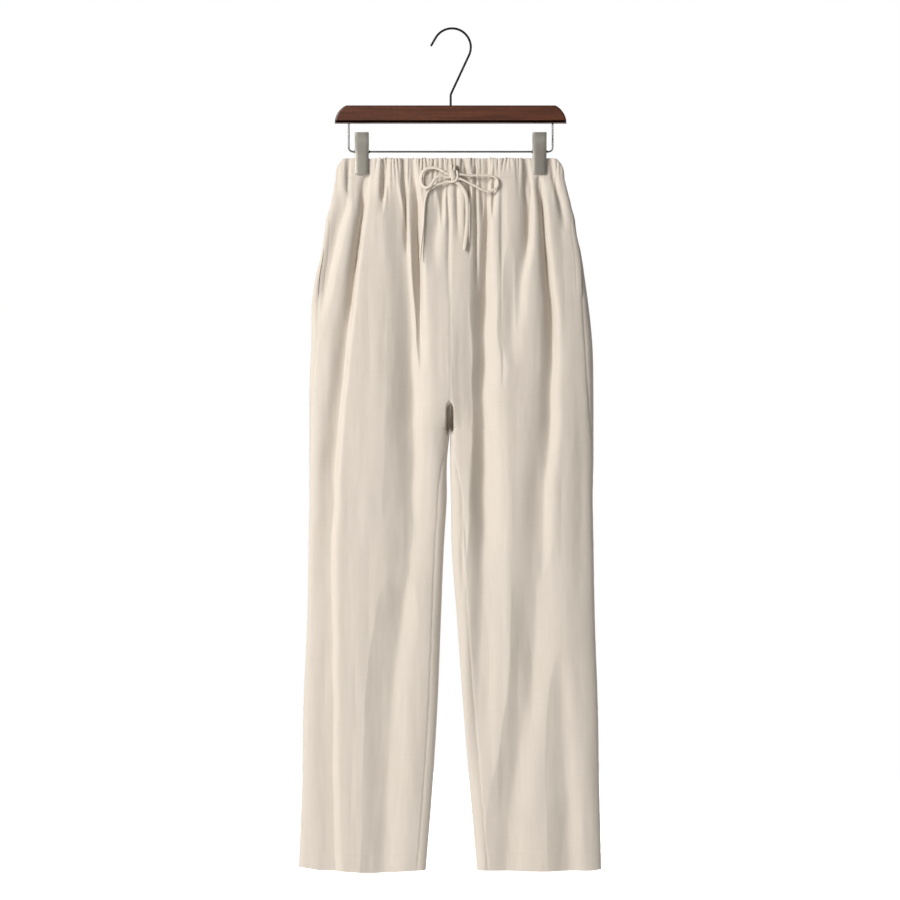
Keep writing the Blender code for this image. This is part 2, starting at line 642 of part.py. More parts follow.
def clip_bush(name, x, mat):
    """The sleeve on the rod that the clip's levers rock on, tapered at both ends."""
    bore, end, taper = ROD_RADIUS + SEAM_GAP, BUSH_RADIUS - 0.35 * MM, 2.4 * MM
    profile = [
        (-BUSH_HALF_LENGTH, bore), (-BUSH_HALF_LENGTH, end), (-BUSH_HALF_LENGTH + taper, BUSH_RADIUS),
        (BUSH_HALF_LENGTH - taper, BUSH_RADIUS), (BUSH_HALF_LENGTH, end), (BUSH_HALF_LENGTH, bore),
    ]
    sides = 14
    points, faces = [], []
    for k in range(sides):
        a = 2 * pi * k / sides
        points += [(x + along, r * cos(a), ROD_Z + r * sin(a)) for along, r in profile]
    for k in range(sides):
        for i in range(len(profile)):
            j, n = (i + 1) % len(profile), len(profile)
            a, b = k * n, (k + 1) % sides * n
            faces.append((a + i, a + j, b + j, b + i))
    add_mesh(name, points, faces, mat)


def build_clips(plate_mat, bush_mat):
    for side, word in ((RIGHT, "right"), (LEFT, "left")):
        x = CENTRE_X + side * CLIP_SPACING / 2
        clip_plate("clip_front_" + word, x, -1, plate_mat)
        clip_plate("clip_back_" + word, x, 1, plate_mat)
        clip_bush("clip_bush_" + word, x, bush_mat)


def main():
    clear_scene()
    linen = material("linen", LINEN)
    build_panels(linen)
    build_pockets(linen)
    build_waistband(linen)
    build_drawstring(material("drawstring_cotton", CORD_COTTON))
    build_bar(material("walnut_stain", WALNUT))
    build_hook(material("dark_steel", DARK_STEEL))
    build_rod(material("bright_steel", BRIGHT_STEEL))
    build_clips(material("satin_steel", SATIN_STEEL), material("bush_rubber", BUSH_RUBBER))


main()
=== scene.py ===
# Linen drawstring trousers on a wooden clip hanger: shapes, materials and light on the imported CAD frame.
# Metres, +Z up, from the inside top of the hook. The front faces -Y; the wearer's right leg is at -X.
from math import cos, pi, radians, sin

import bmesh
import bpy
import numpy as np
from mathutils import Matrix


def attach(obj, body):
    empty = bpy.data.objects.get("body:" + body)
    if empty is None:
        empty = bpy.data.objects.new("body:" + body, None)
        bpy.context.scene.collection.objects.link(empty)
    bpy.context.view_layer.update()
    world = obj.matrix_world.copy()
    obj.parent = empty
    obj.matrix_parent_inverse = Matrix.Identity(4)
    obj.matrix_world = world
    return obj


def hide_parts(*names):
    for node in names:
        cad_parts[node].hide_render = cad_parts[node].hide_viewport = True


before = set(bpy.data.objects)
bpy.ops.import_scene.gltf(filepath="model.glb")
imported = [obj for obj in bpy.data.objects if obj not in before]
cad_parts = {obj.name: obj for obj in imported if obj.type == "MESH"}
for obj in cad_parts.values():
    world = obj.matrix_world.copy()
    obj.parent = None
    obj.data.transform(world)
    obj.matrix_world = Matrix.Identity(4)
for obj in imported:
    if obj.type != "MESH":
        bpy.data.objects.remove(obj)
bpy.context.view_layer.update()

mm = 0.001
right, left = -1, 1                       # the wearer's sides
print("frame loaded:", len(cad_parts), "nodes")


def hexColour(code):
    channels = [int(code[i:i + 2], 16) / 255 for i in (1, 3, 5)]
    linear = [c / 12.92 if c <= 0.04045 else ((c + 0.055) / 1.055) ** 2.4 for c in channels]
    return (*linear, 1)


def addNode(tree, kind, settings=None, links=None):
    # settings are properties or unlinked inputs, by name or number; links give other nodes' outputs
    node = tree.nodes.new("ShaderNode" + kind)
    for name, value in (settings or {}).items():
        if isinstance(name, int) or name in node.inputs:
            node.inputs[name].default_value = value
        else:
            setattr(node, name, value)
    for name, source in (links or {}).items():
        tree.links.new(source, node.inputs[name])
    return node


def newMaterial(name):
    material = bpy.data.materials.new(name)
    material.use_nodes = True
    material.node_tree.nodes.clear()
    return material, material.node_tree


def smoothStep(x):
    x = np.clip(x, 0, 1)
    return x * x * (3 - 2 * x)


def softNoise(u, v, seed, size=61):
    # smooth values from -1 to 1 on a grid of unit cells
    grid = np.random.default_rng(seed).uniform(-1, 1, (size, size))
    i, j = np.floor(u).astype(int), np.floor(v).astype(int)
    s, t = smoothStep(u - i), smoothStep(v - j)
    a, b = grid[i % size, j % size], grid[(i + 1) % size, j % size]
    c, d = grid[i % size, (j + 1) % size], grid[(i + 1) % size, (j + 1) % size]
    return (a * (1 - s) + b * s) * (1 - t) + (c * (1 - s) + d * s) * t


def readCurve(heights, values, z):
    # a smooth curve through values at falling heights, all in millimetres
    down = -np.array(heights, float)
    values = np.array(values, float)
    slopes = np.gradient(values, down)
    depth = np.clip(-z, down[0], down[-1])
    i = np.clip(np.searchsorted(down, depth, side="right") - 1, 0, len(down) - 2)
    span = down[i + 1] - down[i]
    t = (depth - down[i]) / span
    ease = t * t * (3 - 2 * t)
    bend = slopes[i] * t * (1 - t) ** 2 - slopes[i + 1] * t * t * (1 - t)
    return values[i] * (1 - ease) + values[i + 1] * ease + span * bend


def gridFaces(rows, columns, ring=False):
    across = columns if ring else columns - 1
    r, c = np.meshgrid(np.arange(rows - 1), np.arange(across), indexing="ij")
    d = (c + 1) % columns
    quads = [r * columns + c, r * columns + d, (r + 1) * columns + d, (r + 1) * columns + c]
    return np.stack(quads, axis=-1).reshape(-1, 4)


def finishMesh(name, points, faces, material, uv=None, sharp=50):
    # one object from points in metres, its faces turned outwards and shaded smooth
    mesh = bpy.data.meshes.new(name)
    mesh.from_pydata(np.asarray(points).tolist(), [], [list(map(int, face)) for face in faces])
    work = bmesh.new()
    work.from_mesh(mesh)
    bmesh.ops.recalc_face_normals(work, faces=work.faces)
    work.to_mesh(mesh)
    work.free()
    mesh.materials.append(material)
    mesh.shade_smooth()
    mesh.set_sharp_from_angle(angle=radians(sharp))
    if uv is not None:
        layer = mesh.uv_layers.new(name="weave")      # millimetres along the cloth
        corner = np.empty(len(mesh.loops), int)
        mesh.loops.foreach_get("vertex_index", corner)
        layer.data.foreach_set("uv", np.asarray(uv, np.float32)[corner].ravel())
    piece = bpy.data.objects.new(name, mesh)
    bpy.context.scene.collection.objects.link(piece)
    return piece


def standFor(piece, node):
    # the trousers and their hanger are one body, the root, and every piece rides on it
    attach(piece, "root")
    if node is not None:
        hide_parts(node)


def sideWord(side):
    return "right" if side == right else "left"


def smoothRoute(points, step):
    # points at even steps along a smooth curve through a route, in the route's own unit
    p = np.array(points, float)
    ends = np.concatenate([[2 * p[0] - p[1]], p, [2 * p[-1] - p[-2]]])
    t = np.linspace(0, 1, 24, endpoint=False)[:, None]
    curve = [
        0.5 * (2 * b + (c - a) * t + (2 * a - 5 * b + 4 * c - d) * t ** 2 + (3 * b - a - 3 * c + d) * t ** 3)
        for a, b, c, d in zip(ends, ends[1:], ends[2:], ends[3:])
    ]
    curve = np.concatenate(curve + [p[-1:]])
    length = np.concatenate([[0], np.cumsum(np.linalg.norm(np.diff(curve, axis=0), axis=1))])
    even = np.linspace(0, length[-1], max(int(round(length[-1] / step)), 3) + 1)
    return np.stack([np.interp(even, length, curve[:, k]) for k in range(3)], axis=1)


def sweep(path, section, up=(0, 0, 1)):
    # rings of a section, carried along a path without twist: returns points, faces and the unrolled map
    path = np.asarray(path, float)
    tangent = np.gradient(path, axis=0)
    tangent /= np.linalg.norm(tangent, axis=1, keepdims=True)
    side = np.cross(tangent[0], up)
    side /= np.linalg.norm(side)
    along = np.concatenate([[0], np.cumsum(np.linalg.norm(np.diff(path, axis=0), axis=1))])
    points, uv = [], []
    for k, (centre, t) in enumerate(zip(path, tangent)):
        side = side - t * (side @ t)
        side /= np.linalg.norm(side)
        lift = np.cross(side, t)
        ring = section(k / (len(path) - 1), along[k])
        around = np.linspace(0, 1, len(ring), endpoint=False)
        for (a, b), turn in zip(ring, around):
            points.append(centre + side * a + lift * b)
            uv.append((turn * 2 * pi * np.hypot(*ring[0]) / mm, along[k] / mm))
    sides = len(ring)
    faces = gridFaces(len(path), sides, ring=True).tolist()
    last = (len(path) - 1) * sides
    faces += [list(range(sides)), [last + i for i in reversed(range(sides))]]
    return np.array(points), faces, np.array(uv)


# the camera and the light, in metres and watts
view = {
    "middle": (-0.0028, -0.5919),         # what the camera looks at, across and up
    "distance": 4.0,
    "widthSeen": 1.267,                   # at the middle of the trousers
    "sensor": 36,                         # mm
}
light = {
    "keyPlace": (-2.15, -2.1, 0.9), "keySize": (1.2, 1.5), "keyPower": 121, "keyColour": "#FFFDFB",
    "rimPlace": (1.5, 2.6, 0.4), "rimSize": (1.2, 1.8), "rimPower": 60, "rimColour": "#F8F9FF",
    "fill": 0.12, "fillColour": "#FCFBFA",
    "floorZ": -1.34, "floorRadii": (1.2, 2.6), "floorSides": 96,
    "floorColours": ("#F4F3F1", "#FAFAF9"),
    # how brightly the floor glows, over metres from front to back
    "floorGlow": {"From Min": 0.1, "From Max": 0.7, "To Min": 0.3, "To Max": 0.8},
}


def makeCamera():
    camera = bpy.data.cameras.new("camera")
    camera.sensor_width = view["sensor"]
    camera.lens = view["sensor"] * view["distance"] / view["widthSeen"]
    holder = bpy.data.objects.new("camera", camera)
    holder.location = (view["middle"][0], -view["distance"], view["middle"][1])
    holder.rotation_euler = (pi / 2, 0, 0)
    bpy.context.scene.collection.objects.link(holder)
    bpy.context.scene.camera = holder


def softLamp(name, place, size, power, colour):
    lamp = bpy.data.lights.new(name, "AREA")
    lamp.shape = "RECTANGLE"
    lamp.size, lamp.size_y = size
    lamp.energy = power
    lamp.color = hexColour(colour)[:3]
    holder = bpy.data.objects.new(name, lamp)
    holder.location = place
    aim = np.array([view["middle"][0], 0, view["middle"][1]]) - np.array(place)
    turn = np.arctan2(-aim[0], aim[1])
    tilt = np.arctan2(np.hypot(aim[0], aim[1]), -aim[2])
    holder.rotation_euler = (tilt, 0, turn)
    bpy.context.scene.collection.objects.link(holder)


def makeStudio():
    softLamp("key_light", light["keyPlace"], light["keySize"], light["keyPower"], light["keyColour"])
    softLamp("rim_light", light["rimPlace"], light["rimSize"], light["rimPower"], light["rimColour"])
    world = bpy.data.worlds.new("white_studio")
    world.use_nodes = True
    tree = world.node_tree
    tree.nodes.clear()
    fill = addNode(tree, "Background", {"Color": hexColour(light["fillColour"]), "Strength": light["fill"]})
    paper = addNode(tree, "Background", {"Color": (1, 1, 1, 1), "Strength": 1.0})
    rays = addNode(tree, "LightPath")
    seen = rays.outputs["Is Camera Ray"]
    mix = addNode(tree, "MixShader", links={0: seen, 1: fill.outputs[0], 2: paper.outputs[0]})
    addNode(tree, "OutputWorld", links={"Surface": mix.outputs[0]})
    bpy.context.scene.world = world
    bpy.context.scene.view_settings.view_transform = "Standard"
    makeFloor()


def makeFloor():
    # painted board, round and well under the hems: even, matt, no gloss
    sides = light["floorSides"]
    ring = np.linspace(0, 2 * pi, sides, endpoint=False)
    points, faces = [(0, 0, light["floorZ"])], []
    for radius in light["floorRadii"]:
        points += [(radius * cos(a), radius * sin(a), light["floorZ"]) for a in ring]
    for i in range(sides):
        j = (i + 1) % sides
        faces += [(0, 1 + i, 1 + j), (1 + i, 1 + sides + i, 1 + sides + j, 1 + j)]
    material, tree = newMaterial("matt_white_floor")
    where = addNode(tree, "TexCoord").outputs["Object"]
    grain = addNode(tree, "TexNoise", {"Scale": 9, "Detail": 3})
    tones = [hexColour(code) for code in light["floorColours"]]
    colour = addNode(tree, "Mix", {"data_type": "RGBA", 6: tones[0], 7: tones[1]}, {0: grain.outputs["Fac"]})
    place = addNode(tree, "SeparateXYZ", links={0: where})
    glow = addNode(tree, "MapRange", light["floorGlow"], {"Value": place.outputs["Y"]})
    skin = addNode(tree, "BsdfPrincipled", {"Roughness": 0.9, "IOR": 1.45, "Emission Color": (1, 1, 1, 1)},
                   {"Base Color": colour.outputs[2], "Emission Strength": glow.outputs[0]})
    addNode(tree, "OutputMaterial", links={"Surface": skin.outputs[0]})
    finishMesh("floor", points, faces, material)


makeCamera()
makeStudio()
print("camera and studio ready")


# the materials
linen = {
    "base": "#D0C7BC", "light": "#D5CBBE", "dark": "#C9BFB1",
    "roughness": 0.92, "sheen": 0.04, "sheenRoughness": 0.5,
    "threadSpacing": 1.3,                 # mm; real threads lie 0.6 mm apart, drawn twice as coarse to show
    "slubWidth": 1.7, "slubLength": 46,   # mm; the thick places in the yarn
    "cloudSize": 120,                     # mm; uneven bleaching
}
cordFinish = {
    "base": "#DDD3C6", "light": "#E6DDD1", "dark": "#C0B5A6",
    "threadSpacing": 1.9, "slubWidth": 1.2, "slubLength": 8,
}
wood = {
    "base": "#572C17", "grainDark": "#482312", "grainLight": "#63341B", "pores": "#3A2017", "edge": "#321C14",
    "grainLength": 90, "grainWidth": 3.2, "grainDepth": 4, "poreLength": 9, "poreWidth": 1.2,     # mm
    "roughness": 0.42,
}
# name, colour, the uneven plating's colour, roughness, length and width of scratches in mm, their strength
metals = {
    "hook": ("black_nickel_steel_wire", "#2E2E30", "#262628", 0.42, 40, 0.4, 0.05),
    "rod": ("zinc_plated_steel_wire", "#8F908C", "#7C7D79", 0.32, 40, 0.4, 0.1),
    "clip": ("satin_nickel_steel_strip", "#BAB6AC", "#ADA99F", 0.46, 9, 0.35, 0.15),
}
rubber = {"dark": "#1D1C1B", "light": "#2C2A28", "grain": 0.8}                    # mm


def weaveMaterial(name, finish, bump):
    # plain-woven flax: dull, slightly hairy, with long slubs both ways that catch the light
    material, tree = newMaterial(name)
    where = addNode(tree, "UVMap", {"uv_map": "weave"}).outputs["UV"]
    wide, long = finish["slubWidth"], finish["slubLength"]
    slubs = []
    for scale in ((1 / wide, 1 / long, 1), (1 / (long * 0.7), 1 / wide, 1)):
        place = addNode(tree, "Mapping", {"Scale": scale}, {"Vector": where})
        slub = addNode(tree, "TexNoise", {"Scale": 1, "Detail": 2, "Roughness": 0.6},
                       {"Vector": place.outputs[0]})
        slubs.append(slub.outputs["Fac"])
    cloud = addNode(tree, "TexNoise", {"Scale": 1 / linen["cloudSize"], "Detail": 2}, {"Vector": where})
    warp = addNode(tree, "Math", {"operation": "MULTIPLY", 1: 0.6}, {0: slubs[0]})
    weft = addNode(tree, "Math", {"operation": "MULTIPLY_ADD", 1: 0.4}, {0: slubs[1], 2: warp.outputs[0]})
    tone = addNode(tree, "MapRange", {"From Min": 0.36, "From Max": 0.64}, {"Value": weft.outputs[0]})
    tones = {6: hexColour(finish["dark"]), 7: hexColour(finish["light"])}
    mixed = addNode(tree, "Mix", {"data_type": "RGBA", **tones}, {0: tone.outputs[0]})
    clouded = addNode(tree, "MapRange", {"From Min": 0.3, "From Max": 0.7, "To Min": 0.45, "To Max": 0.85},
                      {"Value": cloud.outputs["Fac"]})
    colour = addNode(tree, "Mix", {"data_type": "RGBA", 7: hexColour(finish["base"])},
                     {0: clouded.outputs[0], 6: mixed.outputs[2]})
    threads = []
    for direction in ("X", "Y"):
        bands = {"wave_type": "BANDS", "bands_direction": direction, "Detail": 1, "Detail Scale": 0.4}
        scale = 2 * pi / (20 * finish["threadSpacing"])
        wave = addNode(tree, "TexWave", {**bands, "Scale": scale, "Distortion": 0.6}, {"Vector": where})
        threads.append(wave.outputs["Fac"])
    cross = addNode(tree, "Math", {"operation": "MAXIMUM"}, {0: threads[0], 1: threads[1]})
    height = addNode(tree, "Math", {"operation": "MULTIPLY_ADD", 1: 1.6},
                     {0: weft.outputs[0], 2: cross.outputs[0]})
    relief = addNode(tree, "Bump", {"Strength": bump, "Distance": 0.25 * mm}, {"Height": height.outputs[0]})
    nap = {"Sheen Weight": linen["sheen"], "Sheen Roughness": linen["sheenRoughness"]}
    skin = addNode(tree, "BsdfPrincipled", {"Roughness": linen["roughness"], "IOR": 1.5, **nap},
                   {"Base Color": colour.outputs[2], "Normal": relief.outputs[0]})
    addNode(tree, "OutputMaterial", links={"Surface": skin.outputs[0]})
    return material


def woodMaterial():
    # beech stained walnut brown under satin lacquer: long fine grain, darker on the eased edges
    material, tree = newMaterial("walnut_stained_beech")
    where = addNode(tree, "TexCoord").outputs["Object"]
    scale = (1 / (wood["grainLength"] * mm), 1 / (wood["grainDepth"] * mm), 1 / (wood["grainWidth"] * mm))
    long = addNode(tree, "Mapping", {"Scale": scale}, {"Vector": where})
    grain = addNode(tree, "TexNoise", {"Scale": 1, "Detail": 4, "Roughness": 0.65, "Distortion": 0.4},
                    {"Vector": long.outputs[0]})
    poreWidth = wood["poreWidth"] * mm
    fleck = addNode(tree, "Mapping", {"Scale": (1 / (wood["poreLength"] * mm), 1 / poreWidth, 1 / poreWidth)},
                    {"Vector": where})
    pores = addNode(tree, "TexNoise", {"Scale": 1, "Detail": 1}, {"Vector": fleck.outputs[0]})
    tone = addNode(tree, "ValToRGB", links={"Fac": grain.outputs["Fac"]})
    ends = tone.color_ramp.elements
    ends[0].position, ends[1].position = 0.32, 0.7
    ends[0].color, ends[1].color = hexColour(wood["grainDark"]), hexColour(wood["grainLight"])
    ends.new(0.5).color = hexColour(wood["base"])
    poreTone = addNode(tree, "MapRange", {"From Min": 0.58, "From Max": 0.72},
                       {"Value": pores.outputs["Fac"]})
    flecked = addNode(tree, "Mix", {"data_type": "RGBA", 7: hexColour(wood["pores"])},
                      {0: poreTone.outputs[0], 6: tone.outputs[0]})
    worn = addNode(tree, "Attribute", {"attribute_name": "edge"})
    edged = addNode(tree, "Mix", {"data_type": "RGBA", 7: hexColour(wood["edge"])},
                    {0: worn.outputs["Fac"], 6: flecked.outputs[2]})
    rough = addNode(tree, "MapRange", {"To Min": wood["roughness"] - 0.06, "To Max": wood["roughness"] + 0.1},
                    {"Value": grain.outputs["Fac"]})
    relief = addNode(tree, "Bump", {"Strength": 0.25, "Distance": 0.2 * mm}, {"Height": pores.outputs["Fac"]})
    skin = addNode(tree, "BsdfPrincipled", {"IOR": 1.5, "Coat Weight": 0.25, "Coat Roughness": 0.3},
                   {"Base Color": edged.outputs[2], "Roughness": rough.outputs[0],
                    "Normal": relief.outputs[0]})
    addNode(tree, "OutputMaterial", links={"Surface": skin.outputs[0]})
    return material


def metalMaterial(name, base, shade, roughness, scratchLength, scratchWidth, bump):
    # plated steel: a clean metal with faint rolling lines and slightly uneven plating
    material, tree = newMaterial(name)
    where = addNode(tree, "TexCoord").outputs["Object"]
    scale = (1 / (scratchWidth * mm), 1 / (scratchWidth * mm), 1 / (scratchLength * mm))
    lines = addNode(tree, "Mapping", {"Scale": scale}, {"Vector": where})
    scratch = addNode(tree, "TexNoise", {"Scale": 1, "Detail": 3, "Roughness": 0.6},
                      {"Vector": lines.outputs[0]})
    patch = addNode(tree, "TexNoise", {"Scale": 1 / 0.012, "Detail": 2}, {"Vector": where})
    mixed = addNode(tree, "Mix", {"data_type": "RGBA", 6: hexColour(base), 7: hexColour(shade)},
                    {0: patch.outputs["Fac"]})
    rough = addNode(tree, "MapRange", {"To Min": roughness - 0.07, "To Max": roughness + 0.1},
                    {"Value": scratch.outputs["Fac"]})
    relief = addNode(tree, "Bump", {"Strength": bump, "Distance": 0.08 * mm},
                     {"Height": scratch.outputs["Fac"]})
    skin = addNode(tree, "BsdfPrincipled", {"Metallic": 1.0},
                   {"Base Color": mixed.outputs[2], "Roughness": rough.outputs[0],
                    "Normal": relief.outputs[0]})
    addNode(tree, "OutputMaterial", links={"Surface": skin.outputs[0]})
    return material


def rubberMaterial():
    # moulded black rubber sleeve: matt, with a fine grain
    material, tree = newMaterial("moulded_black_rubber")
    where = addNode(tree, "TexCoord").outputs["Object"]
    grain = addNode(tree, "TexNoise", {"Scale": 1 / (rubber["grain"] * mm), "Detail": 2}, {"Vector": where})
    tones = {6: hexColour(rubber["dark"]), 7: hexColour(rubber["light"])}
    tone = addNode(tree, "Mix", {"data_type": "RGBA", **tones}, {0: grain.outputs["Fac"]})
    relief = addNode(tree, "Bump", {"Strength": 0.3, "Distance": 0.1 * mm}, {"Height": grain.outputs["Fac"]})
    skin = addNode(tree, "BsdfPrincipled", {"Roughness": 0.6, "IOR": 1.52},
                   {"Base Color": tone.outputs[2], "Normal": relief.outputs[0]})
    addNode(tree, "OutputMaterial", links={"Surface": skin.outputs[0]})
    return material


linenCloth = weaveMaterial("woven_linen", linen, 0.35)
cordCloth = weaveMaterial("plaited_linen_cord", cordFinish, 0.6)
stainedWood = woodMaterial()
hookSteel, rodSteel, clipSteel = (metalMaterial(*metals[part]) for part in ("hook", "rod", "clip"))
bushRubber = rubberMaterial()
print("materials ready")


# the drawstring, a plaited cord
drawstring = {
    "diameter": 3.8,                      # mm
    "plaitDepth": 0.07, "plaitPitch": 2.8,
    "ringStep": 0.9, "ringSides": 20,
    "endTaper": 0.25, "taperShare": 0.07,  # a tail's last part closes by a quarter
    # each run lies a little flattened: its thickness and width as shares of the diameter
    "runs": {
        "drawstring_loop_right": (0.74, 1.22), "drawstring_loop_left": (0.86, 0.92),
        "drawstring_tail_right": (0.8, 0.78), "drawstring_tail_left": (0.7, 1.4),
    },
    "plain": (0.92, 1.04),                # the same shares for the strands and the knot's turns
    "wrap": (2.1, 0.9),                   # and for the knot's one wide turn, pulled flat
    # mm that the middle of each loop sinks back from its route, on to the gathered cloth
    "settle": {"drawstring_loop_right": 2.2, "drawstring_loop_left": 3.0},
}
# routes in millimetres, the same as the CAD's
cordRoutes = {
    "drawstring_loop_right": [
        (-11.4, -14.6, -207), (-17.2, -16.4, -207.7), (-22.6, -17.4, -210.6), (-26.4, -17.8, -215.4),
        (-30, -18, -221), (-35.4, -17.8, -224.2), (-40.6, -17, -222), (-43.4, -16.2, -216),
        (-43.6, -15.4, -208.6), (-41.2, -14.6, -201.8), (-35.8, -14, -197.2), (-28.6, -13.8, -195.6),
        (-21, -14, -196.6), (-15, -14.4, -199.4), (-10.6, -14.8, -202.2),
    ],
    "drawstring_loop_left": [
        (10.2, -14.8, -204.6), (16, -14.6, -205.8), (25, -14.2, -206.6), (38, -14, -206.4),
        (50, -14.2, -206.4), (58, -14.6, -207.8), (63.2, -15, -212), (64.6, -15.4, -218),
        (62, -15.8, -224), (56, -16, -228), (49, -16, -228.8), (41, -15.8, -226), (31, -15.4, -220.6),
        (21, -15.2, -215.6), (11, -15, -211),
    ],
    "drawstring_tail_right": [
        (-6.2, -12.9, -214.9), (-13, -12.9, -217.6), (-21, -12.8, -219.8), (-29, -12.9, -224),
        (-34.4, -13.4, -231), (-37.4, -14.3, -241), (-39, -15.6, -255), (-40, -17, -275),
        (-42, -18.4, -294), (-43.8, -19.4, -311), (-44.6, -20.2, -326),
    ],
    "drawstring_tail_left": [
        (5.2, -13.2, -215.6), (10.6, -13, -219.4), (15.6, -13, -225.4), (19.4, -13.3, -233),
        (21.2, -14, -243), (21.6, -15.1, -256), (21.2, -16.4, -273), (19.6, -18, -293),
        (17.2, -19.2, -311.5),
    ],
}
# the two strands from the eyelet down to the knot, and the knot's turns
strandRoutes = {
    "drawstring_strand_right": [
        (-0.6, -8.6, -192.2), (-0.7, -11.2, -192.6), (-0.8, -13.2, -194.6), (-0.9, -13.8, -197.6),
        (-0.9, -13.9, -203),
    ],
    "drawstring_strand_left": [
        (4.2, -8.6, -192.2), (4.1, -11.2, -192.7), (3.7, -13.2, -194.8), (3.4, -13.8, -197.8),
        (3.0, -13.9, -203),
    ],
}
knotRoutes = {
    "knot_wrap": [
        (0.2, -10.4, -200.2), (-0.4, -13.6, -199.8), (-0.2, -16.6, -201.8), (1.2, -17.6, -206.8),
        (2.4, -16.4, -211.8),
        (2.8, -13.4, -214.2), (2.6, -10.8, -214),
    ],
    "knot_cross": [
        (-10.8, -14.2, -203.4), (-7, -14.9, -204), (-2, -15, -206.4), (3, -15, -209.2),
        (7.4, -14.8, -210.8), (11, -14.6, -211.4),
    ],
    "knot_under": [
        (-12, -14.2, -207.2), (-6.4, -13.8, -209.4), (-1, -13.4, -208.4), (4.6, -13.8, -205.6),
        (10.6, -14.2, -204.8),
    ],
    "knot_turn": [
        (7.4, -10.6, -201.6), (7.2, -13.8, -201), (7.6, -15.8, -203.4), (8, -16, -207.8),
        (6.6, -15.4, -212),
        (3, -14.6, -215), (-2, -13.8, -215.8), (-7, -12.8, -215),
    ],
}


def cordPiece(name, route, shares, taper=0.0):
    # a soft plaited cord: its strands show as shallow lozenges that run round it
    path = smoothRoute(route, drawstring["ringStep"])
    sides, radius = drawstring["ringSides"], drawstring["diameter"] / 2

    def section(share, along):
        ring = []
        last = drawstring["taperShare"]
        size = radius * (1 - taper * smoothStep((share - 1 + last) / last))
        turn = pi * along / drawstring["plaitPitch"]
        for k in range(sides):
            a = 2 * pi * k / sides
            r = size - drawstring["plaitDepth"] * (abs(sin(3 * a + turn)) + abs(sin(3 * a - turn)))
            ring.append((r * shares[0] * cos(a), r * shares[1] * sin(a)))
        return ring

    points, faces, uv = sweep(path, section)
    piece = finishMesh(name, points * mm, faces, cordCloth, uv * mm, sharp=80)
    return piece, path * mm


def makeDrawstring():
    for name, route in {**strandRoutes, **knotRoutes}.items():
        wraps = name == "knot_wrap"
        piece, _ = cordPiece("cord_" + name, route, drawstring["wrap" if wraps else "plain"])
        node = "drawstring_knot" if wraps else name if name in strandRoutes else None
        standFor(piece, node)
    for name, route in cordRoutes.items():
        tail = "tail" in name
        sink = drawstring["settle"].get(name, 0)
        shares = np.linspace(0, 1, len(route))
        route = [(x, y + sink * sin(pi * share), z) for (x, y, z), share in zip(route, shares)]
        taper = drawstring["endTaper"] if tail else 0.0
        piece, path = cordPiece("cord_" + name, route, drawstring["runs"][name], taper)
        standFor(piece, name)


makeDrawstring()
print("drawstring ready")


# the cloth's form, in millimetres unless a line says otherwise
trousers = {
    "centreX": -1.8,                      # the middle of the trousers and the bar, from the hook's middle
    "waistTop": -181.5, "casing": 28, "hem": -1182, "crotch": -563.5, "saddleTop": -468,
    "rounding": 2.6, "saddleRounding": 2.3,
    "flatness": 3.3,                      # how flat the front and back lie between the edges
    "inseamInset": {right: 12, left: 15}, "inseamSettle": 100,
    "faceGap": 6.5,                       # mm the deepest front fold stays from the back
    "clipSpacing": 250, "pinchDepth": 0.56, "pinchReach": 20, "pinchFade": 45,
    "pocketTop": -245, "pocketBottom": -385, "pocketMouth": 1.1,
    "cloth": 1.1, "casingWall": 2.4, "casingRoll": 1.2, "hemTurnUp": 25, "hemExtra": 0.7,
    "hemFade": 160,                       # mm above the hem where its unevenness has died away
    "columns": {"front": 205, "back": 130},    # across a panel
    "waistColumns": 190,                  # across a quarter of the casing
}
# the section at each height: outer edges, inner edges, depth to the front and to the back
sectionTable = [
    (-181, -151, 149, -0.7, -0.7, 7.4, 7.4), (-190, -158, 156, -0.7, -0.7, 7.8, 7.8),
    (-212, -163, 161, -0.7, -0.7, 8.6, 8.8), (-240, -168, 168, -0.7, -0.7, 11, 11.5),
    (-282, -177, 176, -0.7, -0.7, 14.5, 16), (-324, -184, 185, -0.7, -0.7, 17, 20),
    (-352, -191, 189, -0.7, -0.7, 18, 22), (-381, -195, 193, -0.7, -0.7, 19, 24),
    (-437, -196, 199, -0.7, -0.7, 21, 27), (-521, -199, 201, -0.7, -0.7, 23, 29),
    (-563, -199, 201, -1.2, -0.6, 23, 28), (-606, -199, 201, -5.2, -1, 22, 26),
    (-662, -199, 200, -5.6, 0.4, 21, 24), (-719, -200, 201, -9, 1, 20, 22),
    (-831, -202, 203, -13.7, 8.9, 19, 20), (-944, -207, 207, -18.2, 17, 18, 19),
    (-1057, -209, 209, -25, 26, 18, 18), (-1182, -214, 212, -35, 37, 18, 18),
]
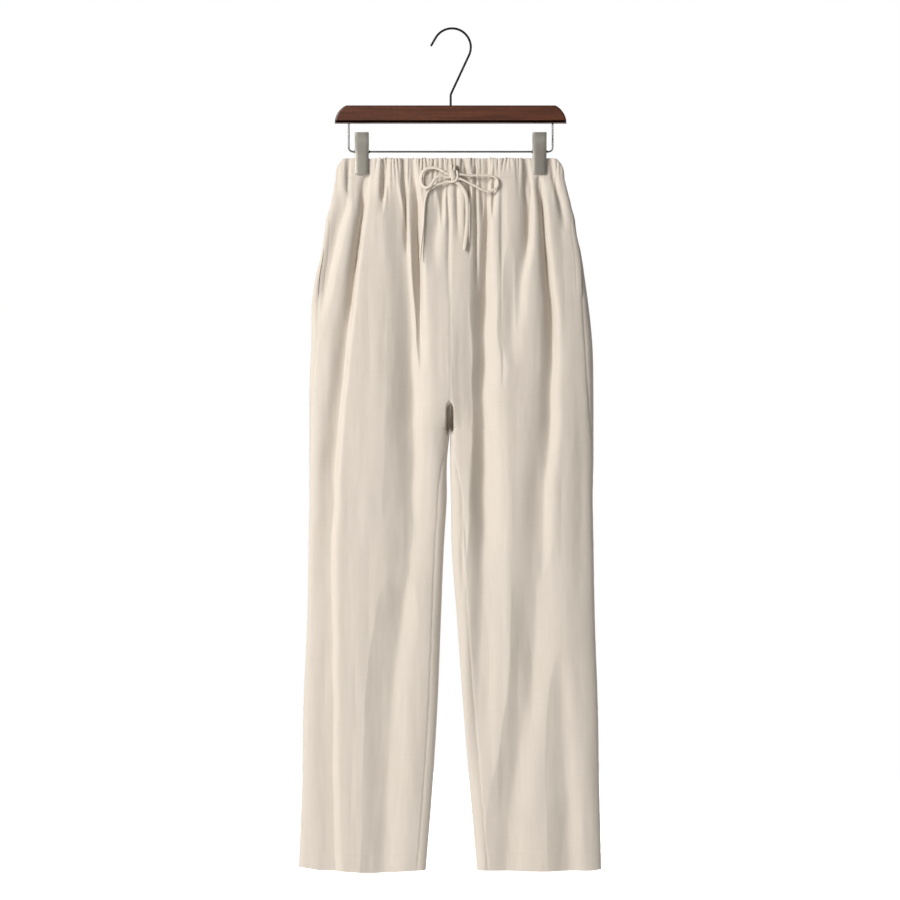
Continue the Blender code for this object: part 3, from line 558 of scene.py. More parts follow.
# how each hem hangs out from the middle: a dip, its place and reach; a lift, where it starts and its reach
hemHang = {
    right: {"dip": 3.6, "dipPlace": 105, "dipReach": 42, "lift": 4.0, "liftStart": 175, "liftReach": 40},
    left: {"dip": 1.0, "dipPlace": 110, "dipReach": 70, "lift": 1.6, "liftStart": 195, "liftReach": 25},
}
seams = {
    "dip": 0.65, "centreDip": 0.3, "inseamDip": 0.35, "dipWidth": 1.9,
    "pucker": 0.3, "puckerLength": 6.5, "puckerReach": 7,
    "hemDip": 0.4, "hemDipWidth": 1.5, "casingDip": 0.2, "casingDipWidth": 2.0,
    "casingStitch": 0.2, "casingStitchUp": 1.5, "casingStitchWidth": 1.1,
}
pocket = {
    "lift": 1.5, "liftReach": 9,          # how far the mouth's edge stands off the bag
    "stitchDip": 0.35, "stitchIn": 7, "stitchWidth": 1.2,
    "edgeExtra": 0.7, "edgeWidth": 12,    # where the cloth is doubled at the mouth
    "top": -224, "bottom": -452, "rows": 60, "columns": 60, "firstColumn": 2, "lastColumn": 30,
    "behind": 1.1, "cloth": 0.9,
}
# how far the side seam lies in from the outline on the front: height, right, left
sideSeamTable = [
    (-181, 0, 0), (-270, 0, 0), (-324, 3.5, 3), (-381, 8.5, 8), (-437, 8, 10.5),
    (-521, 2, 7), (-600, 0, 0), (-1182, 0, 0),
]
# Each fold: its bottom line as (across, up, depth), the widths of its left and of its right bank at the top
# and at the low end, how sharp its bottom is at both ends (1 a crease, 2 a soft trough), and how straight its
# left bank rises to the crest (0 to 1).
frontFolds = [
    ([(-145, -180, 2), (-145.5, -194, 3.4), (-145.5, -215, 3.6), (-145, -235, 2.4), (-144, -255, 0)],
     (3, 4), (2.6, 4), (1.4, 1.6), 0),
    ([(-147, -222, 0), (-149, -250, 5), (-157, -282, 7), (-166, -322, 7.5), (-174, -358, 7),
     (-182, -392, 4), (-188, -425, 0)], (14, 18), (5, 7), (1.8, 2), 0),
    ([(-117, -198, 0), (-118, -212, 4.5), (-122, -247, 6.5), (-130, -310, 9.5), (-139, -381, 11.5),
     (-149, -465, 12), (-154, -522, 12), (-163, -634, 10), (-167, -760, 7), (-166, -944, 5.5),
     (-165, -1050, 5.5), (-164, -1184, 6)], (7, 34), (2.8, 6), (1.7, 2), 0),
    ([(-89, -180, 4), (-90, -200, 5.6), (-92, -222, 6), (-94, -240, 3.8), (-96, -262, 0)], (4.5, 7),
     (2.2, 4), (1.3, 1.6), 0),
    ([(-84, -205, 0), (-73, -245, 5), (-65, -290, 7.5), (-62, -340, 9), (-58, -400, 11), (-55, -470, 13),
     (-53, -560, 14.5), (-53, -650, 14), (-56, -730, 10), (-62, -800, 5), (-68, -860, 0)], (15, 30),
     (5, 23), (2, 1.4), 0.3),
    ([(-58, -690, 0), (-61, -760, 7), (-67, -810, 10), (-75, -860, 10), (-82, -930, 10),
     (-87, -1010, 9.5), (-89, -1080, 9), (-93, -1184, 9)], (23, 21), (14, 22), (1.8, 2), 0.8),
    ([(-65, -180, 5), (-65, -200, 6.5), (-64, -225, 7.5), (-62, -262, 7.5), (-61, -290, 5.5),
     (-60, -315, 0)], (4, 6), (2.2, 3), (1.25, 1.4), 0),
    ([(-53, -180, 5), (-51, -205, 5.5), (-47, -240, 8), (-45, -290, 10), (-44.5, -340, 12),
     (-44, -400, 11), (-44, -450, 8.5), (-45, -500, 5), (-47, -560, 0)], (9, 13), (2.4, 9), (1.6, 1.8),
     0),
    ([(-12, -205, 0), (-12, -222, 5), (-13, -255, 5), (-14, -290, 0)], (5, 7), (3.2, 4), (1.6, 1.8), 0),
    ([(-20, -225, 0), (-20, -255, 4), (-22, -300, 4), (-22, -350, 0)], (10, 12), (6, 8), (2, 2), 0.3),
    ([(-3, -205, 0), (-3, -222, 2.4), (-3, -300, 2.4), (-3, -390, 0)], (3, 3), (2.5, 2.5), (1.6, 1.6),
     0),
    ([(8, -200, 0), (8, -222, 3), (9, -262, 3), (10, -300, 0)], (3, 4), (2.5, 4), (1.5, 1.6), 0),
    ([(19, -180, 4), (22, -202, 5.6), (25, -222, 4), (25, -260, 3), (25.5, -285, 2), (26, -312, 0)],
     (3, 4), (2.4, 4), (1.3, 1.4), 0),
    ([(34, -180, 4), (35.5, -215, 3.4), (35.5, -250, 3), (35.5, -300, 2.8), (37, -340, 3),
     (38, -385, 0)], (3, 4), (2.4, 4), (1.25, 1.3), 0),
    ([(51, -180, 4), (51.5, -209, 7), (52, -262, 9), (51, -300, 11), (50, -345, 14.5), (49, -400, 18),
     (47.5, -480, 19.5), (47, -540, 19.5), (47, -600, 19), (47, -660, 18), (46.5, -720, 15),
     (45, -780, 11), (43, -850, 8), (41, -944, 7), (39, -1000, 5), (38, -1060, 0)], (13, 15), (2.8, 30),
     (1.5, 2.1), 0.3),
    ([(38, -360, 0), (34, -440, 4), (32, -540, 5), (32, -640, 4), (32, -740, 0)], (22, 20), (8, 10),
     (1.7, 2), 0),
    ([(61.5, -192, 0), (62, -226, 5.6), (61, -250, 5.4), (60, -275, 0)], (4, 5), (2.5, 3), (1.3, 1.4),
     0),
    ([(72, -205, 0), (72, -240, 1.8), (72, -330, 2), (72, -480, 1.8), (72, -520, 0)], (3, 3), (5, 6),
     (1.6, 1.8), 0),
    ([(85, -300, 0), (86, -360, 4), (84, -420, 4.5), (83, -480, 0)], (16, 18), (9, 12), (2, 2), 0.2),
    ([(107, -180, 3), (108, -200, 5), (109, -225, 7), (109, -262, 7.5), (107, -300, 7), (102, -340, 6),
     (97, -380, 5), (92, -420, 3), (88, -460, 0)], (6.5, 17), (2.6, 9), (1.6, 2), 0),
    ([(124, -204, 0), (125, -212, 2), (127.5, -240, 2), (131, -282, 3), (134.5, -324, 5.5),
     (138.5, -367, 9), (141, -410, 10.5), (142, -460, 11), (141, -510, 11), (138, -560, 11),
     (133, -620, 11), (129, -690, 10), (125, -770, 6), (122, -830, 0)], (3, 28), (2.6, 12), (1.4, 2), 0),
    ([(124, -700, 0), (122, -760, 7), (119, -831, 9.5), (112, -916, 9.5), (103, -972, 9), (95, -1028, 9),
     (86, -1085, 8.5), (80, -1141, 8.5), (78, -1184, 8.5)], (22, 19), (18, 24), (1.8, 2), 0.8),
    ([(141, -180, 4), (144, -200, 5.4), (149, -225, 6), (155, -248, 4), (161, -285, 0)], (3, 5),
     (2.6, 6), (1.5, 1.6), 0),
    ([(152, -860, 0), (156, -930, 3.5), (159, -1000, 5.5), (161, -1060, 7.5), (164, -1120, 8),
     (167, -1184, 8)], (18, 18), (14, 16), (1.9, 2), 0.8),
    ([(10, -440, 0), (13, -500, 1.6), (12, -560, 1.8), (14, -620, 1.8), (18, -700, 0)], (8, 9), (7, 8),
     (2, 2), 0),
    ([(17, -660, 0), (19, -690, 2.2), (21.5, -725, 2), (22, -748, 0)], (3, 3), (2.5, 2.5), (1.5, 1.5),
     0),
    ([(12, -706, 0), (14, -730, 2), (16, -770, 2), (17, -800, 0)], (3, 3), (2.5, 2.5), (1.5, 1.5), 0),
]
# thin creases in the bottoms of the sharpest folds, added to them
frontCreases = [
    ([(-119, -202, 0), (-120, -222, 7), (-125, -268, 8), (-129, -296, 8), (-133, -324, 7),
     (-138, -367, 5.5), (-143, -437, 0)], (3.2, 6), (1.8, 3), (1.2, 1.5), 0),
    ([(108, -184, 0), (110, -225, 6), (110.5, -290, 6), (107.5, -340, 0)], (3.4, 5), (2, 2.6),
     (1.2, 1.4), 0),
    ([(123.5, -205, 0), (125.5, -218, 7.5), (129, -260, 9), (133, -305, 9), (137, -350, 8),
     (141, -400, 6), (142, -475, 0)], (3, 7), (3.4, 5), (1.2, 1.6), 0),
    ([(51, -186, 0), (51.5, -215, 6.5), (51.5, -300, 6.5), (50, -370, 0)], (2.6, 4), (2.2, 2.8),
     (1.2, 1.4), 0),
    ([(-50, -186, 0), (-46, -280, 5), (-44.5, -360, 5), (-44, -450, 0)], (2.6, 4), (1.8, 2.6),
     (1.2, 1.4), 0),
    ([(-64, -186, 0), (-63, -225, 5), (-62, -300, 6), (-61, -320, 0)], (2.4, 3), (1.8, 2.2), (1.2, 1.3),
     0),
    ([(25, -196, 0), (25.5, -225, 4.5), (25, -285, 4), (25.5, -325, 0)], (2.6, 3), (1.8, 2.2),
     (1.2, 1.3), 0),
    ([(35.5, -192, 0), (35.5, -222, 5), (36, -290, 5), (37.5, -370, 0)], (2.6, 3), (1.8, 2.2),
     (1.2, 1.3), 0),
    ([(44, -190, 0), (44, -210, 4), (44.5, -250, 3), (45, -275, 0)], (2.6, 3), (1.8, 2.2), (1.2, 1.3),
     0),
    ([(-93, -182, 0), (-94, -200, 4), (-95.5, -235, 4), (-96, -246, 0)], (2.6, 3), (1.6, 2), (1.2, 1.3),
     0),
]
backFolds = [
    ([(-112, -205, 0), (-114, -240, 8), (-120, -360, 10), (-127, -500, 9), (-129, -610, 0)], (9, 14),
     (12, 18), (1.4, 2), 0),
    ([(-122, -470, 0), (-126, -600, 7), (-134, -800, 9), (-139, -1000, 9), (-142, -1184, 9)], (15, 20),
     (17, 24), (2, 2), 0.6),
    ([(-58, -180, 4), (-59, -240, 8), (-62, -360, 10), (-66, -480, 6), (-67, -545, 0)], (8, 10),
     (11, 14), (1.3, 2), 0),
    ([(-86, -180, 3), (-86, -240, 5.4), (-88, -320, 6), (-92, -420, 4), (-95, -490, 0)], (5, 8), (6, 9),
     (1.4, 2), 0),
    ([(-70, -600, 0), (-76, -740, 8), (-82, -900, 9), (-88, -1050, 9), (-92, -1184, 9)], (14, 18),
     (16, 24), (2, 2), 0.6),
    ([(-28, -180, 3), (-29, -240, 6), (-31, -300, 6), (-32, -390, 0)], (4, 7), (5, 7), (1.3, 1.8), 0),
    ([(-146, -180, 2), (-149, -230, 4), (-156, -280, 4.4), (-166, -340, 0)], (5, 7), (4, 6), (1.5, 1.8),
     0),
    ([(20, -180, 3), (21, -235, 5), (22, -290, 0)], (4, 5), (4, 5), (1.3, 1.5), 0),
    ([(44, -180, 4), (46, -250, 9), (52, -360, 11), (57, -460, 7), (61, -540, 0)], (9, 12), (12, 14),
     (1.3, 2), 0),
    ([(76, -180, 3), (78, -250, 5), (82, -330, 6), (87, -440, 0)], (5, 8), (5, 8), (1.4, 2), 0),
    ([(62, -560, 0), (66, -680, 7), (73, -860, 9), (80, -1040, 9), (85, -1184, 9)], (15, 18), (14, 24),
     (2, 2), 0.6),
    ([(108, -205, 0), (110, -260, 9), (116, -420, 11), (124, -560, 8), (129, -670, 0)], (10, 14),
     (12, 16), (1.4, 2), 0),
    ([(134, -600, 0), (138, -760, 7), (144, -940, 8), (148, -1100, 8), (151, -1184, 8)], (14, 18),
     (15, 22), (2, 2), 0.6),
    ([(136, -180, 2), (139, -240, 4), (146, -300, 4.4), (154, -370, 0)], (5, 7), (4, 6), (1.5, 1.8), 0),
]
foldWander = {"across": 1.5, "depth": 0.14, "length": 46}     # mm, share, mm: no fold runs quite straight
crotchHollow = {"across": -1.3, "top": -527, "arch": 14, "low": -574, "halfWidth": 5.0, "depth": 27}
# the elastic's gathers, all starting at the top edge: long tucks, and short ticks between them
gathers = {
    "long": {"spacing": (3.6, 8.6), "depth": (1.2, 3.2), "width": (1.1, 2.2), "reach": (24, 95), "lean": 6},
    "short": {"spacing": (1.8, 4.4), "depth": (0.8, 2.4), "width": (0.6, 1.0), "reach": (5, 30), "lean": 2},
}

gatherSpan = (-158.0, 156)                # mm, the first gather and the end of the casing
wrinkles = {
    "soft": [(13, 95, 0.55, (0, 0)), (27, 170, 0.9, (3, 5)), (6, 26, 0.16, (0, 0)), (22, 15, 0.12, (0, 0))],
    "crumpled": [(21, 130, 0.8, 0), (9, 48, 0.14, 1 / 60)],       # wide, tall and high in mm, slant
    "bend": 4, "top": -190, "fade": 60,
}


def makeGathers(seed):
    pick = np.random.default_rng(seed)
    made = []
    for kind in gathers.values():
        x, end = gatherSpan
        while x < end:
            reach = kind["reach"][0] + (kind["reach"][1] - kind["reach"][0]) * pick.random() ** 2
            depth, width = pick.uniform(*kind["depth"]), pick.uniform(*kind["width"])
            made.append((x, depth, width, reach, pick.uniform(-1, 1) * kind["lean"]))
            x += pick.uniform(*kind["spacing"])
    return made


tucks = {"front": makeGathers(5), "back": makeGathers(8)}


def foldRelief(folds, x, z):
    # how far a face is drawn in by its folds, in millimetres
    hollow = np.zeros_like(x)
    for k, (line, leftBank, rightBank, sharp, crisp) in enumerate(folds):
        across, up, deep = (list(column) for column in zip(*line))
        inside = (z <= up[0] + 2) & (z >= up[-1] - 2)
        if not inside.any():
            continue
        wander = softNoise(z / foldWander["length"] + 5.3 * k, z * 0 + k, 91)
        swell = 1 + foldWander["depth"] * softNoise(z / foldWander["length"] + 3.1 * k, z * 0 + k, 92)
        depth = np.maximum(readCurve(up, deep, z), 0) * swell * inside
        t = np.clip((up[0] - z) / (up[0] - up[-1]), 0, 1)
        offset = x - readCurve(up, across, z) - foldWander["across"] * wander
        onLeft = offset < 0
        leftWidth = leftBank[0] + (leftBank[1] - leftBank[0]) * t
        rightWidth = rightBank[0] + (rightBank[1] - rightBank[0]) * t
        bank = np.where(onLeft, leftWidth, rightWidth)
        away = np.abs(offset) / bank
        trough = np.exp(-np.power(away + 1e-9, sharp[0] + (sharp[1] - sharp[0]) * t))
        ramp = np.clip(1.12 - np.hypot(away, 0.18) / 1.5, 0, 1)
        hollow = np.maximum(hollow, depth * np.where(onLeft, trough + crisp * (ramp - trough), trough))
    return hollow


def gatherRelief(face, x, z):
    total = np.zeros_like(x)
    for place, depth, width, reach, lean in tucks[face]:
        t = np.clip((trousers["waistTop"] - z) / reach, 0, 1)
        offset = (x - place - lean * t) / (width * (1 + 0.9 * t))
        total = np.maximum(total, depth * smoothStep(1 - t) * np.exp(-np.abs(offset) ** 1.5))
    return total


def wrinkleRelief(face, x, z):
    # soft unevenness everywhere: long and upright, with crumples that end in thin valleys
    seed = 31 if face == "front" else 41
    total = np.zeros_like(x)
    for k, (wide, tall, high, shift) in enumerate(wrinkles["soft"]):
        total = total + high * softNoise(x / wide + shift[0], z / tall + shift[1], seed + k)
    bent = x + wrinkles["bend"] * softNoise(x / 70, z / 110, seed + 4)
    for k, (wide, tall, high, slant) in enumerate(wrinkles["crumpled"]):
        total = total - high * np.abs(softNoise(bent / wide, z / tall + x * slant, seed + 5 + k))
    return total * smoothStep((wrinkles["top"] - z) / wrinkles["fade"])


def softLimit(value, limit):
    # a value that bends over smoothly to stay under its limit
    limit = np.maximum(limit, 0.01)
    over = np.maximum(value - 0.7 * limit, 0)
    return np.where(over > 0, limit * (1 - 0.3 * np.exp(-over / (0.3 * limit))), value)


def centreClosing(z):
    # how far the section has closed on the centre seams: 0 is flat across, 1 is the crotch
    down = np.clip((trousers["saddleTop"] - z) / (trousers["saddleTop"] - trousers["crotch"]), 0, 1)
    stillOpen = (1 - down ** trousers["saddleRounding"]) ** (1 / trousers["saddleRounding"])
    return np.maximum((1 - stillOpen ** trousers["rounding"]) ** (1 / trousers["rounding"]), 0.02)


def pinch(x, z):
    # the share of the waist's depth left where the clips press front and back together
    low = trousers["waistTop"] - trousers["casing"]
    apart, width = trousers["clipSpacing"] / 2, trousers["pinchReach"]
    reach = sum(np.exp(-(((x - side * apart) / width) ** 6)) for side in (right, left))
    return 1 - trousers["pinchDepth"] * reach * (1 - smoothStep((low - z) / trousers["pinchFade"]))


def sectionValue(column, z):
    return readCurve([row[0] for row in sectionTable], [row[column] for row in sectionTable], z)


def legShape(side, z):
    outer, inner = (sectionValue(column, z) for column in ((1, 3) if side == right else (2, 4)))
    crown = (outer + inner) / 2
    return outer, crown, np.abs(crown - inner) / centreClosing(z)


def clothPoint(side, angle, z, shaped=True):
    # a point of the outer face, in millimetres; the angle runs from the outer edge over the front to the
    # inner edge and back behind
    outer, crown, innerHalf = legShape(side, z)
    c, s = np.cos(angle), np.sin(angle)
    power = 2 / trousers["rounding"]
    half = np.where(c >= 0, np.abs(outer - crown), innerHalf)
    x = crown + side * half * np.sign(c) * np.abs(c) ** power
    swell = np.abs(s) ** (2 / trousers["flatness"])
    press = pinch(x, z)
    depths = [sectionValue(5, z) * swell * press, sectionValue(6, z) * swell * press]
    if shaped:
        weight = smoothStep(np.abs(s) * 1.6)
        soft = np.clip((press - 0.44) / 0.4, 0, 1)
        fromTop = np.minimum(crotchHollow["top"] - crotchHollow["arch"] - z, 0) / crotchHollow["arch"]
        edge = np.hypot((x - crotchHollow["across"]) / crotchHollow["halfWidth"], fromTop)
        hollow = crotchHollow["depth"] * smoothStep((1.25 - edge) / 0.5)
        hollow = hollow * smoothStep((z - crotchHollow["low"]) / 14)
        gap = np.minimum(trousers["faceGap"], 0.4 * (depths[0] + depths[1]))
        relief = foldRelief(backFolds, x, z) + gatherRelief("back", x, z) * soft
        relief = relief + wrinkleRelief("back", x, z)
        depths[1] = depths[1] - softLimit(relief * weight, 0.75 * depths[1])
        relief = foldRelief(frontFolds, x, z) + gatherRelief("front", x, z) * soft
        relief = relief + wrinkleRelief("front", x, z)
        relief = relief + foldRelief(frontCreases, x, z) + hollow
        depths[0] = depths[0] - softLimit(relief * weight, depths[0] + depths[1] - gap)
    y = np.where(s >= 0, -depths[0], depths[1])
    return np.stack([x + trousers["centreX"], y, z + np.zeros_like(x)], axis=-1)


def seamAngles(side, z):
    outer, crown, innerHalf = legShape(side, z)
    rounding = trousers["rounding"]
    heights, *insets = zip(*sideSeamTable)
    inset = readCurve(heights, insets[0 if side == right else 1], z)
    sideAngle = np.arccos(np.clip(1 - inset / np.abs(outer - crown), 0, 1) ** (rounding / 2))
    closing = centreClosing(z)
    turned = trousers["inseamInset"][side] * smoothStep((trousers["crotch"] - z) / trousers["inseamSettle"])
    frontAngle = np.arccos(-((closing * (1 - turned / innerHalf)) ** (rounding / 2)))
    backAngle = np.where(z > trousers["crotch"], 2 * pi - np.arccos(-(closing ** (rounding / 2))), frontAngle)
    return sideAngle, frontAngle, backAngle


def evenAngles(side, start, end, z, columns, trimStart=0.0):
    # angles at even steps of length along each row, and how far along the row each step lies
    rows, lengths = [], []
    samples = 800
    trimStart = np.zeros(len(z)) + trimStart
    for a, b, height, first in zip(start, end, z, trimStart):
        dense = a + (b - a) * (1 - np.cos(np.linspace(0, pi, samples))) / 2
        steps = np.diff(clothPoint(side, dense, np.full(samples, height), shaped=False)[:, :2], axis=0)
        length = np.concatenate([[0], np.cumsum(np.hypot(steps[:, 0], steps[:, 1]))])
        even = np.linspace(first, length[-1], columns + 1)
        rows.append(np.interp(even, length, dense))
        lengths.append(even)
    return np.array(rows), np.array(lengths)


def gridNormals(grid, middle, ring=False):
    if ring:
        across = np.roll(grid, -1, axis=1) - np.roll(grid, 1, axis=1)
    else:
        across = np.gradient(grid, axis=1)
    normal = np.cross(across, np.gradient(grid, axis=0))
    normal /= np.linalg.norm(normal, axis=-1, keepdims=True) + 1e-12
    outward = ((grid - middle) * normal).sum(axis=-1)
    return normal if outward.sum() > 0 else -normal


def clothWall(name, outer, normals, thickness, uv, material, ring=False):
    # a closed wall between a grid of points and the same grid moved in, all in millimetres
    rows, columns = outer.shape[:2]
    skins = np.concatenate([outer.reshape(-1, 3), (outer - normals * thickness).reshape(-1, 3)])
    faces = gridFaces(rows, columns, ring)
    inside = rows * columns
    everything = [faces, faces[:, ::-1] + inside]
    if ring:
        edges = []
        for start in (0, (rows - 1) * columns):
            a = start + np.arange(columns)
            edges.append((a, start + (np.arange(columns) + 1) % columns))
    else:
        edge = np.concatenate([
            np.arange(columns), np.arange(1, rows) * columns + columns - 1,
            (rows - 1) * columns + np.arange(columns - 2, -1, -1), np.arange(rows - 2, 0, -1) * columns,
        ])
        edges = [(edge, np.roll(edge, -1))]
    for a, b in edges:
        everything.append(np.stack([b, a, a + inside, b + inside], axis=1))
    flat = np.concatenate([uv.reshape(-1, 2)] * 2)
    return finishMesh(name, skins * mm, np.concatenate(everything), material, flat)


def panelHeights():
    top = trousers["waistTop"] - trousers["casing"]
    return np.concatenate([
        np.linspace(top, -330, 46, endpoint=False),
        np.linspace(-330, -500, 40, endpoint=False),
        np.linspace(-500, -600, 40, endpoint=False),
        np.linspace(-600, trousers["hem"] + 28, 92, endpoint=False),
        np.linspace(trousers["hem"] + 28, trousers["hem"], 14),
    ])


def hemDrop(side, x):
    # the hems hang a little unevenly
    hang, out = hemHang[side], side * (x - trousers["centreX"])
    dip = hang["dip"] * np.exp(-((out - hang["dipPlace"]) / hang["dipReach"]) ** 2)
    return dip - hang["lift"] * smoothStep((out - hang["liftStart"]) / hang["liftReach"])


def makePanel(side, face):
    word = sideWord(side)
    z = panelHeights()
    sideSeam, frontSeam, backSeam = seamAngles(side, z)
    mouth = np.zeros(len(z))              # 1 along the open pocket mouth
    if face == "front":
        middle = (trousers["pocketTop"] + trousers["pocketBottom"]) / 2
        half = (trousers["pocketTop"] - trousers["pocketBottom"]) / 2
        mouth = smoothStep((1 - np.abs(z - middle) / half) * 3)
        start, end = sideSeam, frontSeam
    else:
        start, end = backSeam, sideSeam + 2 * pi
    columns = trousers["columns"][face]
    angle, along = evenAngles(side, start, end, z, columns, mouth * trousers["pocketMouth"])
    height = np.repeat(z[:, None], columns + 1, axis=1)
    grid = clothPoint(side, angle, height)
    crown = legShape(side, z)[1] + trousers["centreX"]
    middleLine = np.stack([crown, np.zeros(len(z)), z], axis=-1)[:, None]
    normal = gridNormals(grid, middleLine)
    # seams: each panel turns in to its neighbour, with a little pucker along the stitching
    fromStart, fromEnd = along - along[:, :1], along[:, -1:] - along
    front = face == "front"
    atStart = (fromStart, 54 if front else 58, front)
    atEnd = (fromEnd, 64 if front else 68, not front)
    for distance, seed, atSide in (atStart, atEnd):
        hold = 1 - mouth[:, None] if front and atSide else 1
        deep = seams["dip"]
        if not atSide:
            belowCrotch = smoothStep((trousers["crotch"] - height) / 40)
            deep = seams["centreDip"] + seams["inseamDip"] * belowCrotch
        dip = deep * np.exp(-(distance / seams["dipWidth"]) ** 2) * hold
        pucker = seams["pucker"] * softNoise(height / seams["puckerLength"], distance / 9, seed)
        pucker = pucker * np.exp(-(distance / seams["puckerReach"]) ** 2)
        grid = grid - normal * (dip + pucker * hold)[..., None]
    if front:
        # the pocket mouth stands a little open, its folded edge lifted off the bag
        lift = pocket["lift"] * np.exp(-(fromStart / pocket["liftReach"]) ** 2)
        stitches = np.exp(-((fromStart - pocket["stitchIn"]) / pocket["stitchWidth"]) ** 2)
        lift = mouth[:, None] * (lift - pocket["stitchDip"] * stitches)
        grid = grid + normal * lift[..., None]
    # the turned-up hem: a faint line of stitches above it, and the cloth doubled below
    aboveHem = height - trousers["hem"]
    hemLine = np.exp(-((aboveHem - trousers["hemTurnUp"]) / seams["hemDipWidth"]) ** 2)
    grid = grid - normal * (seams["hemDip"] * hemLine)[..., None]
    grid[..., 2] -= hemDrop(side, grid[..., 0]) * smoothStep(1 - aboveHem / trousers["hemFade"])
    # the lower seam of the casing
    casingLine = np.exp(-((height - z[0]) / seams["casingDipWidth"]) ** 2)
    grid = grid - normal * (seams["casingDip"] * casingLine)[..., None]
    normal = gridNormals(grid, middleLine)
    thickness = trousers["cloth"] + trousers["hemExtra"] * (aboveHem < trousers["hemTurnUp"] - 1)
    if front:
        thickness = thickness + pocket["edgeExtra"] * mouth[:, None] * (fromStart < pocket["edgeWidth"])
    # each panel has its own part of the weave's map
    uv = np.stack([along - along[:, -1:] * 0.5 + side * 400 + (0 if front else 900), height], axis=-1)
    piece = clothWall("linen_" + face + "_" + word, grid, normal, thickness[..., None], uv, linenCloth)
    standFor(piece, face + "_" + word)
    return piece, surfaceArea(grid)


def surfaceArea(grid):
    a, b = np.diff(grid, axis=1)[:-1], np.diff(grid, axis=0)[:, :-1]
    return float(np.linalg.norm(np.cross(a, b), axis=-1).sum()) * mm * mm


def makeWaistband():
    top = trousers["waistTop"]
    roll = trousers["casingRoll"]
    overEdge = top - roll * (1 - np.cos(np.linspace(0, pi / 2, 5)))
    z = np.concatenate([overEdge, np.linspace(top - roll - 1, top - trousers["casing"], 26)])
    columns = trousers["waistColumns"]
    height = np.repeat(z[:, None], columns + 1, axis=1)
    pieces = []
    level = np.zeros(len(z))
    for side in (right, left):
        inner = np.arccos(-(centreClosing(z) ** (trousers["rounding"] / 2)))
        front, _ = evenAngles(side, inner, level, z, columns)
        back, _ = evenAngles(side, level + 2 * pi, 2 * pi - inner, z, columns)
        for angle in ([front, back] if side == right else [back[:, ::-1], front[:, ::-1]]):
            pieces.append(clothPoint(side, angle, height)[:, :-1])
    grid = np.concatenate(pieces, axis=1)
    middleLine = np.stack([level + trousers["centreX"], level, z], axis=-1)[:, None]
    measured = grid[10]                   # a row below the rounded edge
    around = np.concatenate([[0], np.cumsum(np.linalg.norm(np.diff(measured, axis=0), axis=1))])
    normal = gridNormals(grid, middleLine, ring=True)
    tall = np.repeat(z[:, None], grid.shape[1], axis=1)
    # rounded top edge, and a row of stitching above the lower seam
    fromTop = top - tall
    edge = roll * (1 - np.sqrt(1 - np.clip(1 - fromTop / roll, 0, 1) ** 2))
    fromStitches = fromTop - trousers["casing"] + seams["casingStitchUp"]
    stitch = seams["casingStitch"] * np.exp(-(fromStitches / seams["casingStitchWidth"]) ** 2)
    grid = grid - normal * (edge + stitch)[..., None]
    # between the gathers the top edge rises and falls
    scallop = 0.55 * softNoise(around / 5.2, around * 0, 71) + 0.35 * softNoise(around / 2.1, around * 0, 72)
    grid[..., 2] += scallop * np.exp(-(fromTop / 6) ** 2)
    wall = np.where(fromTop < roll, trousers["casingWall"] - 2 * edge, trousers["casingWall"])
    uv = np.stack([np.repeat(around[None], len(z), axis=0), tall + 2000], axis=-1)
    wall = np.maximum(wall, 0.6)[..., None]
    piece = clothWall("linen_waistband", grid, normal, wall, uv, linenCloth, ring=True)
    standFor(piece, "waistband")
    return piece, around[-1] * mm


def makePocket(side):
    # a bag of the same linen behind the front panel, seen only through the pocket mouth
    word = sideWord(side)
    z = np.linspace(pocket["top"], pocket["bottom"], pocket["rows"])
    sideSeam, frontSeam, _ = seamAngles(side, z)
    angle, along = evenAngles(side, sideSeam, frontSeam, z, pocket["columns"])
    used = slice(pocket["firstColumn"], pocket["lastColumn"])
    angle, along = angle[:, used], along[:, used]
    height = np.repeat(z[:, None], angle.shape[1], axis=1)
    grid = clothPoint(side, angle, height)
    middleLine = np.stack([legShape(side, z)[1] + trousers["centreX"], z * 0, z], axis=-1)[:, None]
    normal = gridNormals(grid, middleLine)
    grid = grid - normal * (trousers["cloth"] + pocket["behind"])
    uv = np.stack([along + 3000, height], axis=-1)
    wall = np.full(grid.shape[:2] + (1,), pocket["cloth"])
    piece = clothWall("linen_pocket_" + word, grid, normal, wall, uv, linenCloth)
    standFor(piece, "pocket_" + word)


def makeTrousers():
    waist, roundWaist = makeWaistband()
    print("waistband ready")
    for side in (right, left):
        for face in ("front", "back"):
            piece, area = makePanel(side, face)
            print(piece.name, "ready")
        makePocket(side)


makeTrousers()
print("cloth ready")


# the hanger, in millimetres and degrees
hanger = {
    "barLength": 326, "barTop": -107.2, "barHeight": 25, "barThickness": 12, "barEndRadius": 27.5,
    "barEdge": 2.2, "barCap": 1.6,        # the eased edge, and how far in the flat faces' own rings lie
    "edgeStain": 0.5,                     # the share of the edge colour mixed in along the eased edges
    "hookRadius": 1.6, "hookBend": 26.5, "hookLean": 25, "hookTipAngle": 150, "hookTip": 14, "hookDepth": 14,
    "rodRadius": 1.3, "rodHalfSpan": 143.5, "rodZ": -172.1, "rodCorner": 6, "rodDepth": 9,
    "wireStep": 1.2, "wireSides": 20,
    "clipWidth": 19.5, "clipTop": -145.5, "clipBottom": -204.6, "clipSheet": 1.1, "clipCorner": 3,
    "clipLip": 0.3, "clipEar": 1.6, "earReach": 9.4, "clipEase": 0.45, "clipCrown": 0.2,
    "bushRadius": 2.3, "bushHalf": 11.2, "bushSides": 32,
}
